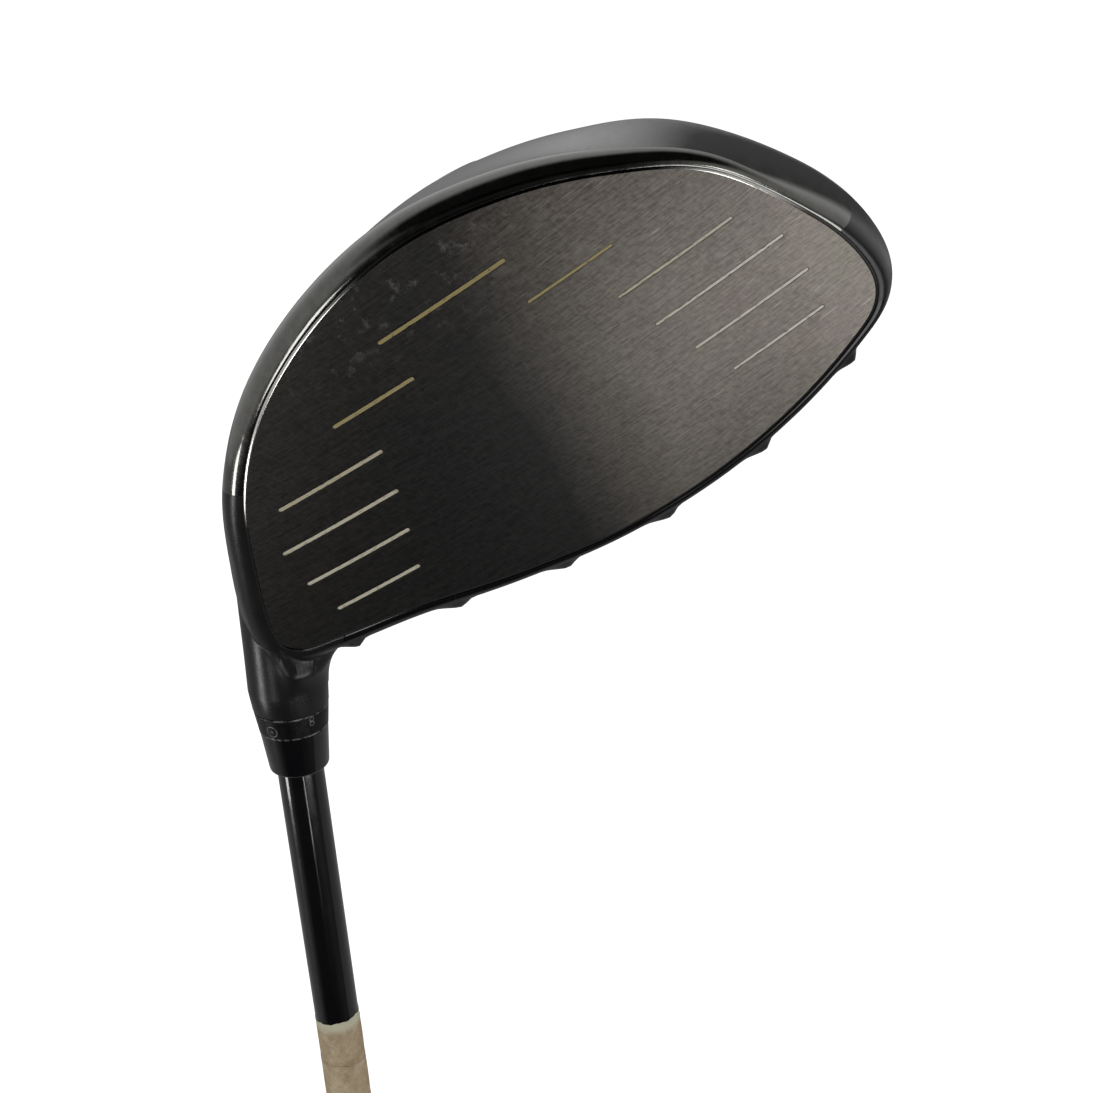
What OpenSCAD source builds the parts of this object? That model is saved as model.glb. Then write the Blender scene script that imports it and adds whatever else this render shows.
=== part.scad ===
// Golf driver, right-handed, with an adjustable sleeve and a sliding rear weight.
// Frame: the shaft lies along Z with the grip's butt face at z = 0 and the head up at the
// far end. X points at the target, out of the face, and the toe points mostly to +Y.

/* [Club] */
// Club length, from the butt face along the shaft to the ground line
club_len = 1162; // [1100:1:1170]
// Angle between the shaft and the ground
lie = 60.1; // [56:0.1:62]

/* [Face] */
// Loft of the face
loft = 11.1; // [8:0.1:12]
// Radius of bulge and roll
face_radius = 305; // [280:1:360]
// Face centre in front of the shaft axis
face_x = 17; // [16:0.1:18]
// Face centre toe-ward of the shaft axis at the ground
face_toe = 35.5; // [35:0.1:37]
// Face centre above the ground
face_height = 34.3; // [33:0.1:36]
// Thickness of the face plate
face_t = 2.6; // [2.2:0.1:3]

/* [Head] */
// Depth of the head behind the shaft axis
tail_back = 95; // [90:0.5:98]
// Thickness of the cast shell
shell_t = 1.3; // [1.1:0.1:1.6]
// Height of the turbulator ridges
ridge_h = 1.4; // [0.8:0.1:1.8]

/* [Hosel] */
// Radius of the neck at its mouth
neck_r = 7.3; // [7.1:0.1:7.5]
// Distance of the neck's mouth from the ground line, along the shaft
neck_top = 70.2; // [70:0.1:73]
// Radius of the sleeve in the neck
sleeve_r = 5.5; // [5.3:0.1:5.6]
// Height of the sleeve's exposed collar
collar_h = 4.4; // [4:0.1:6]
// Length of the ferrule
ferrule_len = 8.3; // [7:0.1:10]

/* [Shaft] */
// Radius of the parallel tip
tip_r = 4.3; // [4.2:0.01:4.32]
// Radius of the butt
butt_r = 7.62; // [7.4:0.01:7.65]
// Width of the masking tape wrap
tape_w = 36; // [24:1:48]

/* [Grip] */
// Length of the grip
grip_len = 267; // [250:1:280]
// Radius of the grip's end cap
cap_r = 15.2; // [14.5:0.1:16]

/* [Rear weight] */
// Radius of the weight track's centre line
track_r = 45; // [44:0.5:46]
// Slope of the track's floor towards the rear
track_tilt = 28; // [26:1:30]
// Half of the angle that the weight takes up
weight_half = 12; // [10:1:13]
// Travel of the weight to each side
weight_swing = 14; // [10:1:15]

/* [Hidden] */
$fn = 96;
eps = 0.01;
run_gap = 0.05;       // running clearance, on the radius
bond_gap = 0.1;       // glue or weld line

// Places along the shaft, measured from the ground line towards the grip
seat_bottom = 41;     // top of the screw bushing, foot of the spline seat
seat_top = 47;
shaft_tip = 49;
screw_seat = 35;      // shoulder that the washer of the hosel screw bears on
bushing_foot = 27;
ring_foot = 22.4;     // retaining ring in the screw port
tube_foot = 17.5;       // end of the screw tube, on the shaft's axis
neck_foot = 40;
neck_full = 56;       // the neck has its full radius from here up
collar_top = neck_top + collar_h;
ferrule_top = collar_top + ferrule_len;
tape_foot = 139.5;
tip_parallel = 190;   // end of the shaft's parallel tip
butt_parallel = 250;  // length of the shaft's parallel butt

// Hosel radii
neck_foot_r = neck_r - 1.2;
mouth_out_r = neck_r - 0.35;
collar_foot_r = neck_r - 0.4;
collar_top_r = neck_r - 0.95;
port_r = 4.8;
tube_r = 5.6;
bore_r = sleeve_r + run_gap;
screw_r = 2.5;
screw_head_r = 3.9;
screw_head_h = 4.5;
washer_h = 1;
spline_r = 4.6;
spline_root = 3.9;
spline_w = 1.4;
spline_n = 8;

// Shaft and grip
tip_bore = 2.9;
butt_bore = 6.9;
shaft_end = 5;        // butt end of the shaft above the butt face
cap_t = 5;
cap_h = 9;
vent_r = 1.5;
grip_tape_t = 0.25;
mouth_r = 8.6;

// Face outline, seen from the front: [toe-ward, crown-ward] from the face centre
KNOTS = [[54, 1], [57, 12.5], [55, 19.5], [47.5, 23.3], [34, 27], [18, 29], [0, 28.6],
         [-18, 25.6], [-36, 21.6], [-51, 19.8], [-59.5, 18.3], [-61.2, 13], [-55, 0.5],
         [-46.5, -12.7], [-34, -23.5], [-18, -30.6], [-1, -33.3], [16, -30.7],
         [31, -24.7], [44.5, -15.3]];
N_KNOTS = len(KNOTS);
COLS = 3;             // columns of facets from knot to knot
ROWS = 18;            // rows of facets from face to tail
N_COLS = N_KNOTS * COLS;

// Rules of the body's shape, as [sides, crown, sole] or [toe, heel, crown, sole]
TAIL = [-3, -6];                   // rearmost point: [toe-ward, up] from the face centre
FULLNESS_N = [2.7, 1.9, 2.1];
FULLNESS_M = [2.4, 1.75, 2.0];
EDGE_ROLL = [0.3, 1.3, 1.6, 5.5];
TAIL_CURVE = 1.2;
SKIN_FADE = 4;
BULGE_START = 0.55;

// Seams, in columns and rows of the facet grid
CROWN_FROM = 6;
CROWN_TO = 27;
CROWN_ROWS = 15;
BAND_FROM = 39;
BAND_TO = 61;
BAND_ROWS = 9;
BADGE_FROM = 46;
BADGE_TO = 50;
BADGE_ROW = 10;
BADGE_ROWS = 2;

// Turbulators
RIDGES = 6;
ridge_pitch = 18.6;
ridge_mid = -2;
ridge_half = 0.16;    // half width, in knots
ridge_back = 0.17;    // length, as a share of the head's depth
ridge_sink = 0.5;

// Scorelines: [height above centre, inner end, outer end], mirrored left and right
SCORELINES = [[14.2, 31, 47.5], [7.2, 28, 48.5], [0, 25, 48], [-7.3, 22.7, 43], [-14.9, 11, 26]];
LOW_LINE = [-22.5, 11.5];          // the one line that crosses the middle: [height, half length]
line_w = 0.7;          // heel side and middle
toe_line_w = 0.5;
line_depth = 0.3;
paint_depth = 0.2;

// Rear weight track, drawn in the plane through the track's axis; h runs into the head
TRACK_AXIS = [-38, -32];           // in the head's plan
track_z = 14.2;                    // outer face of the track above the ground
track_w = 14;
channel_w = 11.6;
channel_h = 7.7;
slot_w = 4.6;
nut_w = 7.6;
slot_h = 1.6;
gallery_w = 9;
gallery_h = 3.3;
track_h = channel_h + slot_h + gallery_h + 1.2;
track_end = 2;                     // degrees of wall beyond the weight's travel
weight_gap = 0.1;
m4_r = 2;
weight_head_r = 3.1;
weight_head_h = 2.6;

// ---- Frames -------------------------------------------------------------------------------

// Head frame: x target, y heel-ward, z up, origin where the shaft axis meets the ground
module head_frame() {
  translate([0, 0, club_len]) rotate([-90 - lie, 0, 0]) children();
}

// Distances up the shaft from the ground line, as z of the row's frame
function up_shaft(d) = club_len - d;

// A solid of revolution round the shaft; points are [radius, distance up the shaft]
module turned(points) {
  rotate_extrude() polygon([for (p = points) [p[0], up_shaft(p[1])]]);
}

// A tube round the shaft between two distances from the ground line
module tube(outer, inner, from, to) {
  difference() {
    translate([0, 0, up_shaft(to)]) cylinder(r = outer, h = to - from);
    translate([0, 0, up_shaft(to) - eps]) cylinder(r = inner, h = to - from + 2 * eps);
  }
}

// ---- Head surface -------------------------------------------------------------------------

// Closed smooth curve through the outline's knots
function outline(t) =
  let (k = floor(t), s = t - k)
  let (a = KNOTS[(k + N_KNOTS - 1) % N_KNOTS], b = KNOTS[k % N_KNOTS])
  let (c = KNOTS[(k + 1) % N_KNOTS], d = KNOTS[(k + 2) % N_KNOTS])
  0.5 * (2 * b + (c - a) * s + (2 * a - 5 * b + 4 * c - d) * s * s
         + (3 * b - a - 3 * c + d) * s * s * s);

// Point of the bulged and rolled face, in the head frame
function face_point(u, v) =
  let (d = (u * u + v * v) / (2 * face_radius))
  [face_x - v * sin(loft) - d * cos(loft), -face_toe - u,
   face_height + v * cos(loft) - d * sin(loft)];

// Outline seen along X: [toe-ward, up] from the face centre
function section(t) =
  let (q = outline(t), f = face_point(q[0], q[1]))
  [-face_toe - f[1], f[2] - face_height];

function unit(v) = v / norm(v);

// Outward direction of the section at t
function outward(t) =
  let (d = section(t + 0.02 + N_KNOTS) - section(t - 0.02 + N_KNOTS))
  unit([d[1], -d[0]]);

// Mix of three values by the direction round the section
function by_side(v, c, s) = v[0] * c * c + (s > 0 ? v[1] : v[2]) * s * s;

// Point of the head at share p of the way to the tail, t round the outline, inset under the skin
function skin(p, t, inset) =
  let (w = section(t), q = outline(t), front = face_point(q[0], q[1])[0])
  let (a = atan2(w[1] / 34, w[0] / 60), c = cos(a), s = sin(a))
  let (n = by_side(FULLNESS_N, c, s), m = by_side(FULLNESS_M, c, s))
  let (bulge = 0.038 - 0.03 * c + 0.05 * s + 0.072 * (c * c - s * s) + 0.017 * c * s)
  let (roll = (c > 0 ? EDGE_ROLL[0] : EDGE_ROLL[1]) * c * c
              + (s > 0 ? EDGE_ROLL[2] : EDGE_ROLL[3]) * s * s)
  let (depth = (front + tail_back) * p, k = min(depth / roll / 1.5, 1))
  let (scale_p = pow(1 - pow(p, n), 1 / m) * (1 + bulge * sin(180 * pow(p, BULGE_START))))
  let (edge = roll * sqrt(1 - (1 - k) * (1 - k)) * (1 - p) - inset * (1 - pow(p, SKIN_FADE)))
  let (g = TAIL * pow(p, TAIL_CURVE) + w * scale_p + outward(t) * edge)
  [front + (inset - tail_back - front) * p, -face_toe - g[0], face_height + g[1]];

// Rows crowd together at the face and at the tail
function row_share(i) = (1 - cos(180 * i / ROWS)) / 2;

function triangles(a, b, c, d) =
  [if (a != b && b != c && c != a) [a, c, b], if (a != c && c != d && d != a) [a, d, c]];

// Closed shell of the grid cells for which used(row, column) is true, between two insets
module skin_shell(outer, inner, used) {
  last = ROWS * N_COLS;
  layer = last + 1;
  function id(i, j) = i == ROWS ? last : i * N_COLS + (j + N_COLS) % N_COLS;
  function grid(inset) = [
    for (i = [0 : ROWS - 1], j = [0 : N_COLS - 1]) skin(row_share(i), j / COLS, inset),
    skin(1, 0, inset)
  ];
  function on(i, j) = i >= 0 && i < ROWS && used(i, (j + N_COLS) % N_COLS);
  function cell(i, j) = concat(
    triangles(id(i, j), id(i, j + 1), id(i + 1, j + 1), id(i + 1, j)),
    triangles(id(i + 1, j) + layer, id(i + 1, j + 1) + layer, id(i, j + 1) + layer, id(i, j) + layer),
    on(i - 1, j) ? [] : wall(id(i, j + 1), id(i, j)),
    on(i + 1, j) ? [] : wall(id(i + 1, j), id(i + 1, j + 1)),
    on(i, j - 1) ? [] : wall(id(i, j), id(i + 1, j)),
    on(i, j + 1) ? [] : wall(id(i + 1, j + 1), id(i, j + 1))
  );
  // Both shells at a seam split its wall along the same diagonal
  function wall(a, b) =
    a < b ? triangles(a, b, b + layer, a + layer) : triangles(b, b + layer, a + layer, a);
  polyhedron(
    points = concat(grid(outer), grid(inner)),
    faces = [for (i = [0 : ROWS - 1], j = [0 : N_COLS - 1]) if (on(i, j)) each cell(i, j)]
  );
}

function in_crown(i, j) = i < CROWN_ROWS && j >= CROWN_FROM && j < CROWN_TO;
function in_band(i, j) = i < BAND_ROWS && (j >= BAND_FROM || j < BAND_TO - N_COLS);
function in_badge(i, j) =
  i >= BADGE_ROW && i < BADGE_ROW + BADGE_ROWS && j >= BADGE_FROM && j < BADGE_TO;

// ---- Head parts ---------------------------------------------------------------------------

module head_body() {
  color("dimgray") difference() {
    union() {
      head_frame() skin_shell(0, shell_t, function(i, j) !in_crown(i, j) && !in_band(i, j));
      neck();
      screw_tube();
    }
    translate([0, 0, up_shaft(neck_top) - eps]) cylinder(r = bore_r, h = neck_top - seat_bottom + eps);
    screw_port();
    head_frame() track_place() track_ring(track_w + 4 * bond_gap, -4, track_h + 1, track_half() + 2.6);
  }
}

// Outside of the neck: it narrows inside the head, and is drawn in a little towards its mouth
module neck() {
  turned([[0, neck_foot], [neck_foot_r, neck_foot], [neck_r, neck_full], [neck_r, neck_top - 5],
          [mouth_out_r, neck_top], [0, neck_top]]);
}

// Round way through the sole to the hosel screw
module screw_port() {
  translate([0, 0, up_shaft(seat_bottom) - eps]) cylinder(r = port_r, h = seat_bottom + 20);
}

// Tube from the neck down to the port, cut off just inside the sole along its slope
module screw_tube() {
  slope = 64;
  reach = 40;
  difference() {
    translate([0, 0, up_shaft(neck_foot)]) cylinder(r = tube_r, h = neck_foot);
    translate([0, 0, up_shaft(tube_foot)]) rotate([slope, 0, 0])
      translate([-reach, -reach, 0]) cube([2 * reach, 2 * reach, reach]);
  }
}

module crown_shell() {
  color("black") head_frame() union() {
    skin_shell(0, shell_t, function(i, j) in_crown(i, j));
    for (k = [0 : RIDGES - 1]) ridge(ridge_mid + ridge_pitch * (k - (RIDGES - 1) / 2));
  }
}

// One turbulator: a low teardrop ridge that stands on the crown's leading edge
module ridge(u) {
  steps = 6;
  mid = lookup(-u, [for (k = [3 : 9]) [-KNOTS[k][0], k]]);
  function height(a, b) = (ridge_h + ridge_sink) * pow(1 - a * a, 2) * sqrt(max(0, 1 - b)) - ridge_sink;
  function place(i, j, base) =
    let (a = 2 * j / steps - 1, b = i / steps)
    skin(0.006 + ridge_back * b, mid + ridge_half * a, base ? 2 * ridge_sink : -height(a, b));
  w = steps + 1;
  layer = w * w;
  polyhedron(
    points = [for (base = [false, true], i = [0 : steps], j = [0 : steps]) place(i, j, base)],
    faces = concat(
      [for (i = [0 : steps - 1], j = [0 : steps - 1])
        each triangles(i * w + j, i * w + j + 1, i * w + w + j + 1, i * w + w + j)],
      [for (i = [0 : steps - 1], j = [0 : steps - 1]) each triangles(layer + i * w + w + j,
        layer + i * w + w + j + 1, layer + i * w + j + 1, layer + i * w + j)],
      [for (j = [0 : steps - 1]) each triangles(j + 1, j, layer + j, layer + j + 1)],
      [for (j = [0 : steps - 1]) each triangles(steps * w + j, steps * w + j + 1,
        layer + steps * w + j + 1, layer + steps * w + j)],
      [for (i = [0 : steps - 1]) each triangles(i * w, i * w + w, layer + i * w + w, layer + i * w)],
      [for (i = [0 : steps - 1]) each triangles(i * w + w + steps, i * w + steps,
        layer + i * w + steps, layer + i * w + w + steps)]
    )
  );
}

// Frame at the face centre: z out of the face, x to the toe, y to the crown
module face_frame() {
  head_frame() translate([face_x, -face_toe, face_height]) rotate([0, -loft, 0])
    rotate([90, 0, 90]) mirror([1, 0, 0]) children();
}

// Part of the ball that the face's bulge and roll follow, between two depths under the face
module face_ball(from, to) {
  translate([0, 0, -face_radius]) difference() {
    sphere(r = face_radius - from);
    sphere(r = face_radius - to);
  }
}

module scoreline(u0, u1, v, width) {
  translate([u0, v - width / 2]) square([u1 - u0, width]);
  for (u = [u0, u1]) translate([u, v]) circle(d = width, $fn = 24);
}

module all_scorelines() {
  for (s = SCORELINES) {
    scoreline(s[1], s[2], s[0], toe_line_w);
    scoreline(-s[2], -s[1], s[0], line_w);
  }
  scoreline(-LOW_LINE[1], LOW_LINE[1], LOW_LINE[0], line_w);
}

// Solid under the scorelines from the face's surface down to a depth
module line_fill(depth) {
  intersection() {
    translate([0, 0, -20]) linear_extrude(40) all_scorelines();
    face_ball(line_depth - depth, line_depth);
  }
}

module face_plate() {
  rim = shell_t + bond_gap;
  function rim_point(t) =
    let (d = outline(t + 0.02 + N_KNOTS) - outline(t - 0.02 + N_KNOTS))
    outline(t) - rim * unit([d[1], -d[0]]);
  color([0.3, 0.29, 0.28]) difference() {
    face_frame() difference() {
      intersection() {
        face_ball(0, face_t);
        translate([0, 0, -20]) linear_extrude(40)
          polygon([for (j = [0 : N_COLS - 1]) rim_point(j / COLS)]);
      }
      translate([0, 0, -20]) linear_extrude(40) all_scorelines();
    }
    translate([0, 0, up_shaft(neck_top)]) cylinder(r = neck_r + 0.35, h = neck_top - neck_foot + 1);
  }
}

module scoreline_paint() {
  color("khaki") face_frame() line_fill(paint_depth);
}

module sole_band() {
  color("slategray") difference() {
    head_frame() skin_shell(0, shell_t, function(i, j) in_band(i, j));
    screw_port();
  }
}

module sole_badge() {
  color("silver") head_frame() skin_shell(-0.6, -0.05, function(i, j) in_badge(i, j));
}

// ---- Hosel parts --------------------------------------------------------------------------

// Bars that stand in a ring, as the spline's lugs or slots
module spline_bars(from_r, to_r, width, from, to) {
  for (k = [0 : spline_n - 1]) rotate([0, 0, 360 * k / spline_n])
    translate([from_r, -width / 2, up_shaft(to)]) cube([to_r - from_r, width, to - from]);
}

module spline_seat() {
  color("silver") intersection() {
    union() {
      tube(sleeve_r, spline_r + run_gap, seat_bottom + run_gap, seat_top);
      spline_bars(spline_root + run_gap, sleeve_r - 0.2, spline_w - 2 * run_gap, seat_bottom + run_gap, seat_top);
    }
    tube(sleeve_r, spline_root + run_gap, seat_bottom, seat_top);
  }
}

module screw_bushing() {
  color("silver") difference() {
    tube(port_r - run_gap, screw_r + 0.2, bushing_foot, seat_bottom - run_gap);
    translate([0, 0, up_shaft(screw_seat)]) cylinder(r = screw_head_r + 0.3, h = screw_seat);
  }
}

module screw_retaining_ring() {
  color("dimgray") tube(port_r - run_gap, 3.2, ring_foot, ring_foot + 1);
}

module hosel_screw_washer() {
  color("gainsboro") tube(screw_head_r + 0.1, screw_r + 0.1, screw_seat - washer_h, screw_seat - eps);
}

module hosel_screw() {
  head_top = screw_seat - washer_h - eps;
  color("gainsboro") difference() {
    union() {
      tube(screw_head_r, 0.5, head_top - screw_head_h, head_top);
      translate([0, 0, up_shaft(seat_top)]) cylinder(r = screw_r, h = seat_top - head_top);
    }
    translate([0, 0, up_shaft(head_top - 2)]) lobe_socket(2.1, 4);
  }
}

// Six-lobed driver socket
module lobe_socket(r, depth) {
  lobe_r = r * 0.28;
  cylinder(r = r * 0.72, h = depth);
  for (k = [0 : 5]) rotate([0, 0, 60 * k]) translate([r - lobe_r, 0, 0])
    cylinder(r = lobe_r, h = depth, $fn = 24);
}

module adapter_sleeve() {
  color([0.2, 0.2, 0.2]) difference() {
    union() {
      translate([0, 0, up_shaft(neck_top + 1)])
        cylinder(r = sleeve_r, h = neck_top + 1 - seat_top - 2 * run_gap);
      translate([0, 0, up_shaft(seat_top + 1)])
        cylinder(r = spline_r, h = seat_top + 1 - seat_bottom - 0.3);
      translate([0, 0, up_shaft(collar_top)])
        cylinder(r1 = collar_top_r, r2 = collar_foot_r, h = collar_h - run_gap);
    }
    translate([0, 0, up_shaft(collar_top) - eps])
      cylinder(r = tip_r + run_gap, h = collar_top - shaft_tip + eps + run_gap);
    translate([0, 0, up_shaft(seat_top + 0.5)]) cylinder(r = screw_r + run_gap, h = 20);
    spline_bars(spline_root, spline_r + 1, spline_w, seat_bottom, seat_top + run_gap);
  }
}

module ferrule() {
  foot = collar_top + run_gap;
  round_r = 0.9;
  top_r = tip_r + 1.2;
  color("black") turned(concat(
    [[tip_r + run_gap, foot], [collar_top_r - run_gap, foot]],
    [for (a = [0 : 15 : 90]) [top_r - round_r + round_r * cos(a), ferrule_top - round_r + round_r * sin(a)]],
    [[tip_r + run_gap, ferrule_top]]
  ));
}

// ---- Shaft and grip -----------------------------------------------------------------------

module shaft() {
  color([0.08, 0.08, 0.08]) turned([
    [tip_bore, shaft_tip + run_gap], [tip_r, shaft_tip + run_gap], [tip_r, tip_parallel],
    [butt_r, club_len - butt_parallel], [butt_r, club_len - shaft_end],
    [butt_bore, club_len - shaft_end], [butt_bore, club_len - butt_parallel], [tip_bore, tip_parallel]
  ]);
}

module tip_plug() {
  color("ivory") translate([0, 0, up_shaft(shaft_tip + 14)]) cylinder(r = tip_bore - run_gap, h = 8);
}

module masking_tape() {
  color("tan") tube(tip_r + 0.45, tip_r + 0.02, tape_foot, tape_foot + tape_w);
}

module grip_tape() {
  color("wheat") difference() {
    translate([0, 0, cap_h]) cylinder(r = butt_r + grip_tape_t, h = butt_parallel - cap_h - 2);
    translate([0, 0, cap_h - eps]) cylinder(r = butt_r + 0.01, h = butt_parallel);
  }
}

module grip_body() {
  bore = butt_r + grip_tape_t + 0.02;
  color([0.12, 0.12, 0.12]) rotate_extrude() polygon([
    [bore, cap_h + run_gap], [cap_r - 1.2, cap_h + run_gap], [cap_r - 2.2, 14], [12.6, 40], [11.2, 110],
    [9.9, 190], [mouth_r, grip_len - 3], [mouth_r - 0.5, grip_len], [bore, grip_len]
  ]);
}

module grip_cap() {
  lip = 1.2;
  color([0.1, 0.1, 0.1]) difference() {
    rotate_extrude() polygon(concat(
      [[0, 0], [cap_r - 2 * lip, 0]],
      [for (a = [-75 : 15 : 0]) [cap_r - lip + lip * cos(a), lip + lip * sin(a)]],
      [[cap_r, cap_h - lip], [cap_r - lip, cap_h], [0, cap_h]]
    ));
    translate([0, 0, cap_t - run_gap]) cylinder(r = butt_r + run_gap, h = cap_h);
    translate([0, 0, -eps]) cylinder(r = vent_r, h = cap_h);
  }
}

// ---- Rear weight --------------------------------------------------------------------------

function track_half() = weight_half + weight_swing + track_end;

// Puts the track's axis on z
module track_place() {
  translate([TRACK_AXIS[0], TRACK_AXIS[1], track_z]) rotate([0, 0, 180]) children();
}

// Ring sector that follows the track: width across it, from one depth to another
module track_ring(width, from, to, half) {
  rotate([0, 0, -half]) rotate_extrude(angle = 2 * half) translate([track_r, 0])
    rotate(track_tilt) translate([-width / 2, from]) square([width, to - from]);
}

// Frame on the weight's screw: z into the head, origin on the track's outer face
module weight_frame() {
  head_frame() track_place() translate([track_r, 0, 0]) rotate([0, -track_tilt, 0]) children();
}

module weight_track() {
  color([0.15, 0.15, 0.15]) head_frame() track_place() difference() {
    track_ring(track_w, 0, track_h, track_half() + 2);
    track_ring(channel_w, -1, channel_h, track_half());
    track_ring(slot_w, channel_h - 1, channel_h + slot_h + 1, track_half());
    track_ring(gallery_w, channel_h + slot_h, channel_h + slot_h + gallery_h, track_half());
  }
}

module slide_weight() {
  clip_h = 3;
  color("gray") difference() {
    head_frame() track_place()
      track_ring(channel_w - 2 * weight_gap, 0.3, channel_h - weight_gap, weight_half);
    weight_frame() {
      translate([0, 0, -1]) cylinder(r = weight_head_r + 0.2, h = weight_head_h + 1.6);
      cylinder(r = m4_r + 0.15, h = channel_h + 1);
      translate([0, 0, channel_h - clip_h]) cylinder(r = 3.7, h = clip_h + 1);
    }
    slug_places() cylinder(r = 2.6 + run_gap, h = 4);
  }
}

// Axes of the two slugs, either side of the weight's screw
module slug_places() {
  for (a = [-7.6, 7.6]) head_frame() track_place() rotate([0, 0, a])
    translate([track_r, 0, 0]) rotate([0, -track_tilt, 0]) translate([0, 0, 0.2]) children();
}

module weight_slugs() {
  color("silver") slug_places() translate([0, 0, 0.3]) cylinder(r = 2.6, h = 3.6);
}

module weight_nut() {
  color("silver") weight_frame() difference() {
    translate([-nut_w / 2, -nut_w / 2, channel_h + slot_h + 0.1]) cube([nut_w, nut_w, gallery_h - 0.3]);
    cylinder(r = m4_r + run_gap, h = 30);
  }
}

module weight_screw() {
  color("gainsboro") weight_frame() difference() {
    union() {
      translate([0, 0, 0.6]) cylinder(r = weight_head_r, h = weight_head_h - 0.05);
      translate([0, 0, weight_head_h]) cylinder(r = m4_r, h = channel_h + slot_h + gallery_h - 0.2 - weight_head_h);
    }
    translate([0, 0, -1]) lobe_socket(1.7, 3.2);
  }
}

module weight_screw_clip() {
  color("silver") weight_frame() translate([0, 0, channel_h - 0.8]) difference() {
    cylinder(r = 3.4, h = 0.6);
    translate([0, 0, -1]) cylinder(r = m4_r + run_gap, h = 3);
  }
}

head_body();
crown_shell();
face_plate();
scoreline_paint();
sole_band();
sole_badge();
spline_seat();
screw_bushing();
screw_retaining_ring();
hosel_screw_washer();
hosel_screw();
weight_track();
slide_weight();
weight_slugs();
weight_nut();
weight_screw();
weight_screw_clip();
adapter_sleeve();
ferrule();
shaft();
tip_plug();
masking_tape();
grip_tape();
grip_body();
grip_cap();
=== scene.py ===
"""Looks of a golf driver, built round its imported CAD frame.

Lengths inside the head's rules are millimetres in the head frame (x target, y heel-ward,
z up, origin where the shaft axis meets the ground); row() turns them into the row frame.
"""

import math
import random

import bmesh
import bpy
import numpy as np
from mathutils import Matrix, Vector
from mathutils.bvhtree import BVHTree


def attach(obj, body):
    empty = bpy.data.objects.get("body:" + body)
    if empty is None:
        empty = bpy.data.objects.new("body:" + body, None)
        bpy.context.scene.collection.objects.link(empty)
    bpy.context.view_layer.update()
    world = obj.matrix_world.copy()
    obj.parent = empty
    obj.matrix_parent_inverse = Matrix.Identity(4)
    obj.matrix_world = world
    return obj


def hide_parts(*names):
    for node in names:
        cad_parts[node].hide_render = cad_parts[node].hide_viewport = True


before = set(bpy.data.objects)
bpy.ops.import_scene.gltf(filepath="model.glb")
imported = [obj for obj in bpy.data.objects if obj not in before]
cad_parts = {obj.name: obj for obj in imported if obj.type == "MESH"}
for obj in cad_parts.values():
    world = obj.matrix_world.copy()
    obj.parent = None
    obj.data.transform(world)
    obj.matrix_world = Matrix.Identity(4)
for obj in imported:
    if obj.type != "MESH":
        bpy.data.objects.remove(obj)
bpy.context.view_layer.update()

MM = 0.001
CLUB_LEN = 1162.0
LIE = math.radians(60.1)
LOFT = math.radians(11.1)
FACE_RADIUS = 305.0
FACE_X, FACE_TOE, FACE_HEIGHT = 17.0, 35.5, 34.3
TAIL_BACK = 95.0
SHELL_T = 1.3

# ---- The head's surface: the same rule as the CAD source, on arrays ----

KNOTS = np.array([
    (54, 1), (57, 12.5), (55, 19.5), (47.5, 23.3), (34, 27), (18, 29), (0, 28.6), (-18, 25.6),
    (-36, 21.6), (-51, 19.8), (-59.5, 18.3), (-61.2, 13), (-55, 0.5), (-46.5, -12.7),
    (-34, -23.5), (-18, -30.6), (-1, -33.3), (16, -30.7), (31, -24.7), (44.5, -15.3)])
N_KNOTS = len(KNOTS)
TAIL = np.array((-3.0, -6.0))
FULLNESS_N = (2.7, 1.9, 2.1)
FULLNESS_M = (2.4, 1.75, 2.0)
EDGE_ROLL = (0.3, 1.3, 1.6, 5.5)

# Seams, in knots round the outline and in coarse rows towards the tail
COARSE_ROWS = 18
CROWN_FROM, CROWN_TO, CROWN_ROWS = 2, 9, 15
BAND_FROM, BAND_TO, BAND_ROWS = 13, 20 + 1 / 3, 9
BADGE_FROM, BADGE_TO, BADGE_ROW = 46 / 3, 50 / 3, 11

RIDGES = [-2 + 18.6 * (k - 2.5) for k in range(6)]
RIDGE_HALF = 0.19
RIDGE_BACK = 0.17
RIDGE_H = 1.4

# Hosel, as distances up the shaft from the ground line
NECK_TOP = 70.2
NECK_R = 7.3
NECK_BORE = 5.55
COLLAR_TOP = NECK_TOP + 4.4
FERRULE_TOP = COLLAR_TOP + 8.3
BLEND = 8.5


def row(points):
    """Head frame in millimetres to the row frame in metres."""
    x, y, z = np.moveaxis(np.asarray(points, float), -1, 0)
    c, s = math.cos(LIE), math.sin(LIE)
    return np.stack([x, c * z - s * y, CLUB_LEN - c * y - s * z], -1) * MM


def outline(t):
    k = np.floor(t).astype(int)
    s = (t - k)[..., None]
    a, b, c, d = (KNOTS[(k + i) % N_KNOTS] for i in (-1, 0, 1, 2))
    return 0.5 * (2 * b + (c - a) * s + (2 * a - 5 * b + 4 * c - d) * s ** 2
                  + (3 * b - a - 3 * c + d) * s ** 3)


def face_point(u, v, up=0.0):
    """Point of the face at (toe-ward, crown-ward) from its centre, up millimetres above it."""
    d = (u * u + v * v) / (2 * FACE_RADIUS) - up
    return np.stack([FACE_X - v * math.sin(LOFT) - d * math.cos(LOFT), -FACE_TOE - u + 0 * v,
                     FACE_HEIGHT + v * math.cos(LOFT) - d * math.sin(LOFT)], -1)


def section(t):
    q = outline(t)
    f = face_point(q[..., 0], q[..., 1])
    return np.stack([-FACE_TOE - f[..., 1], f[..., 2] - FACE_HEIGHT], -1)


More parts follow.
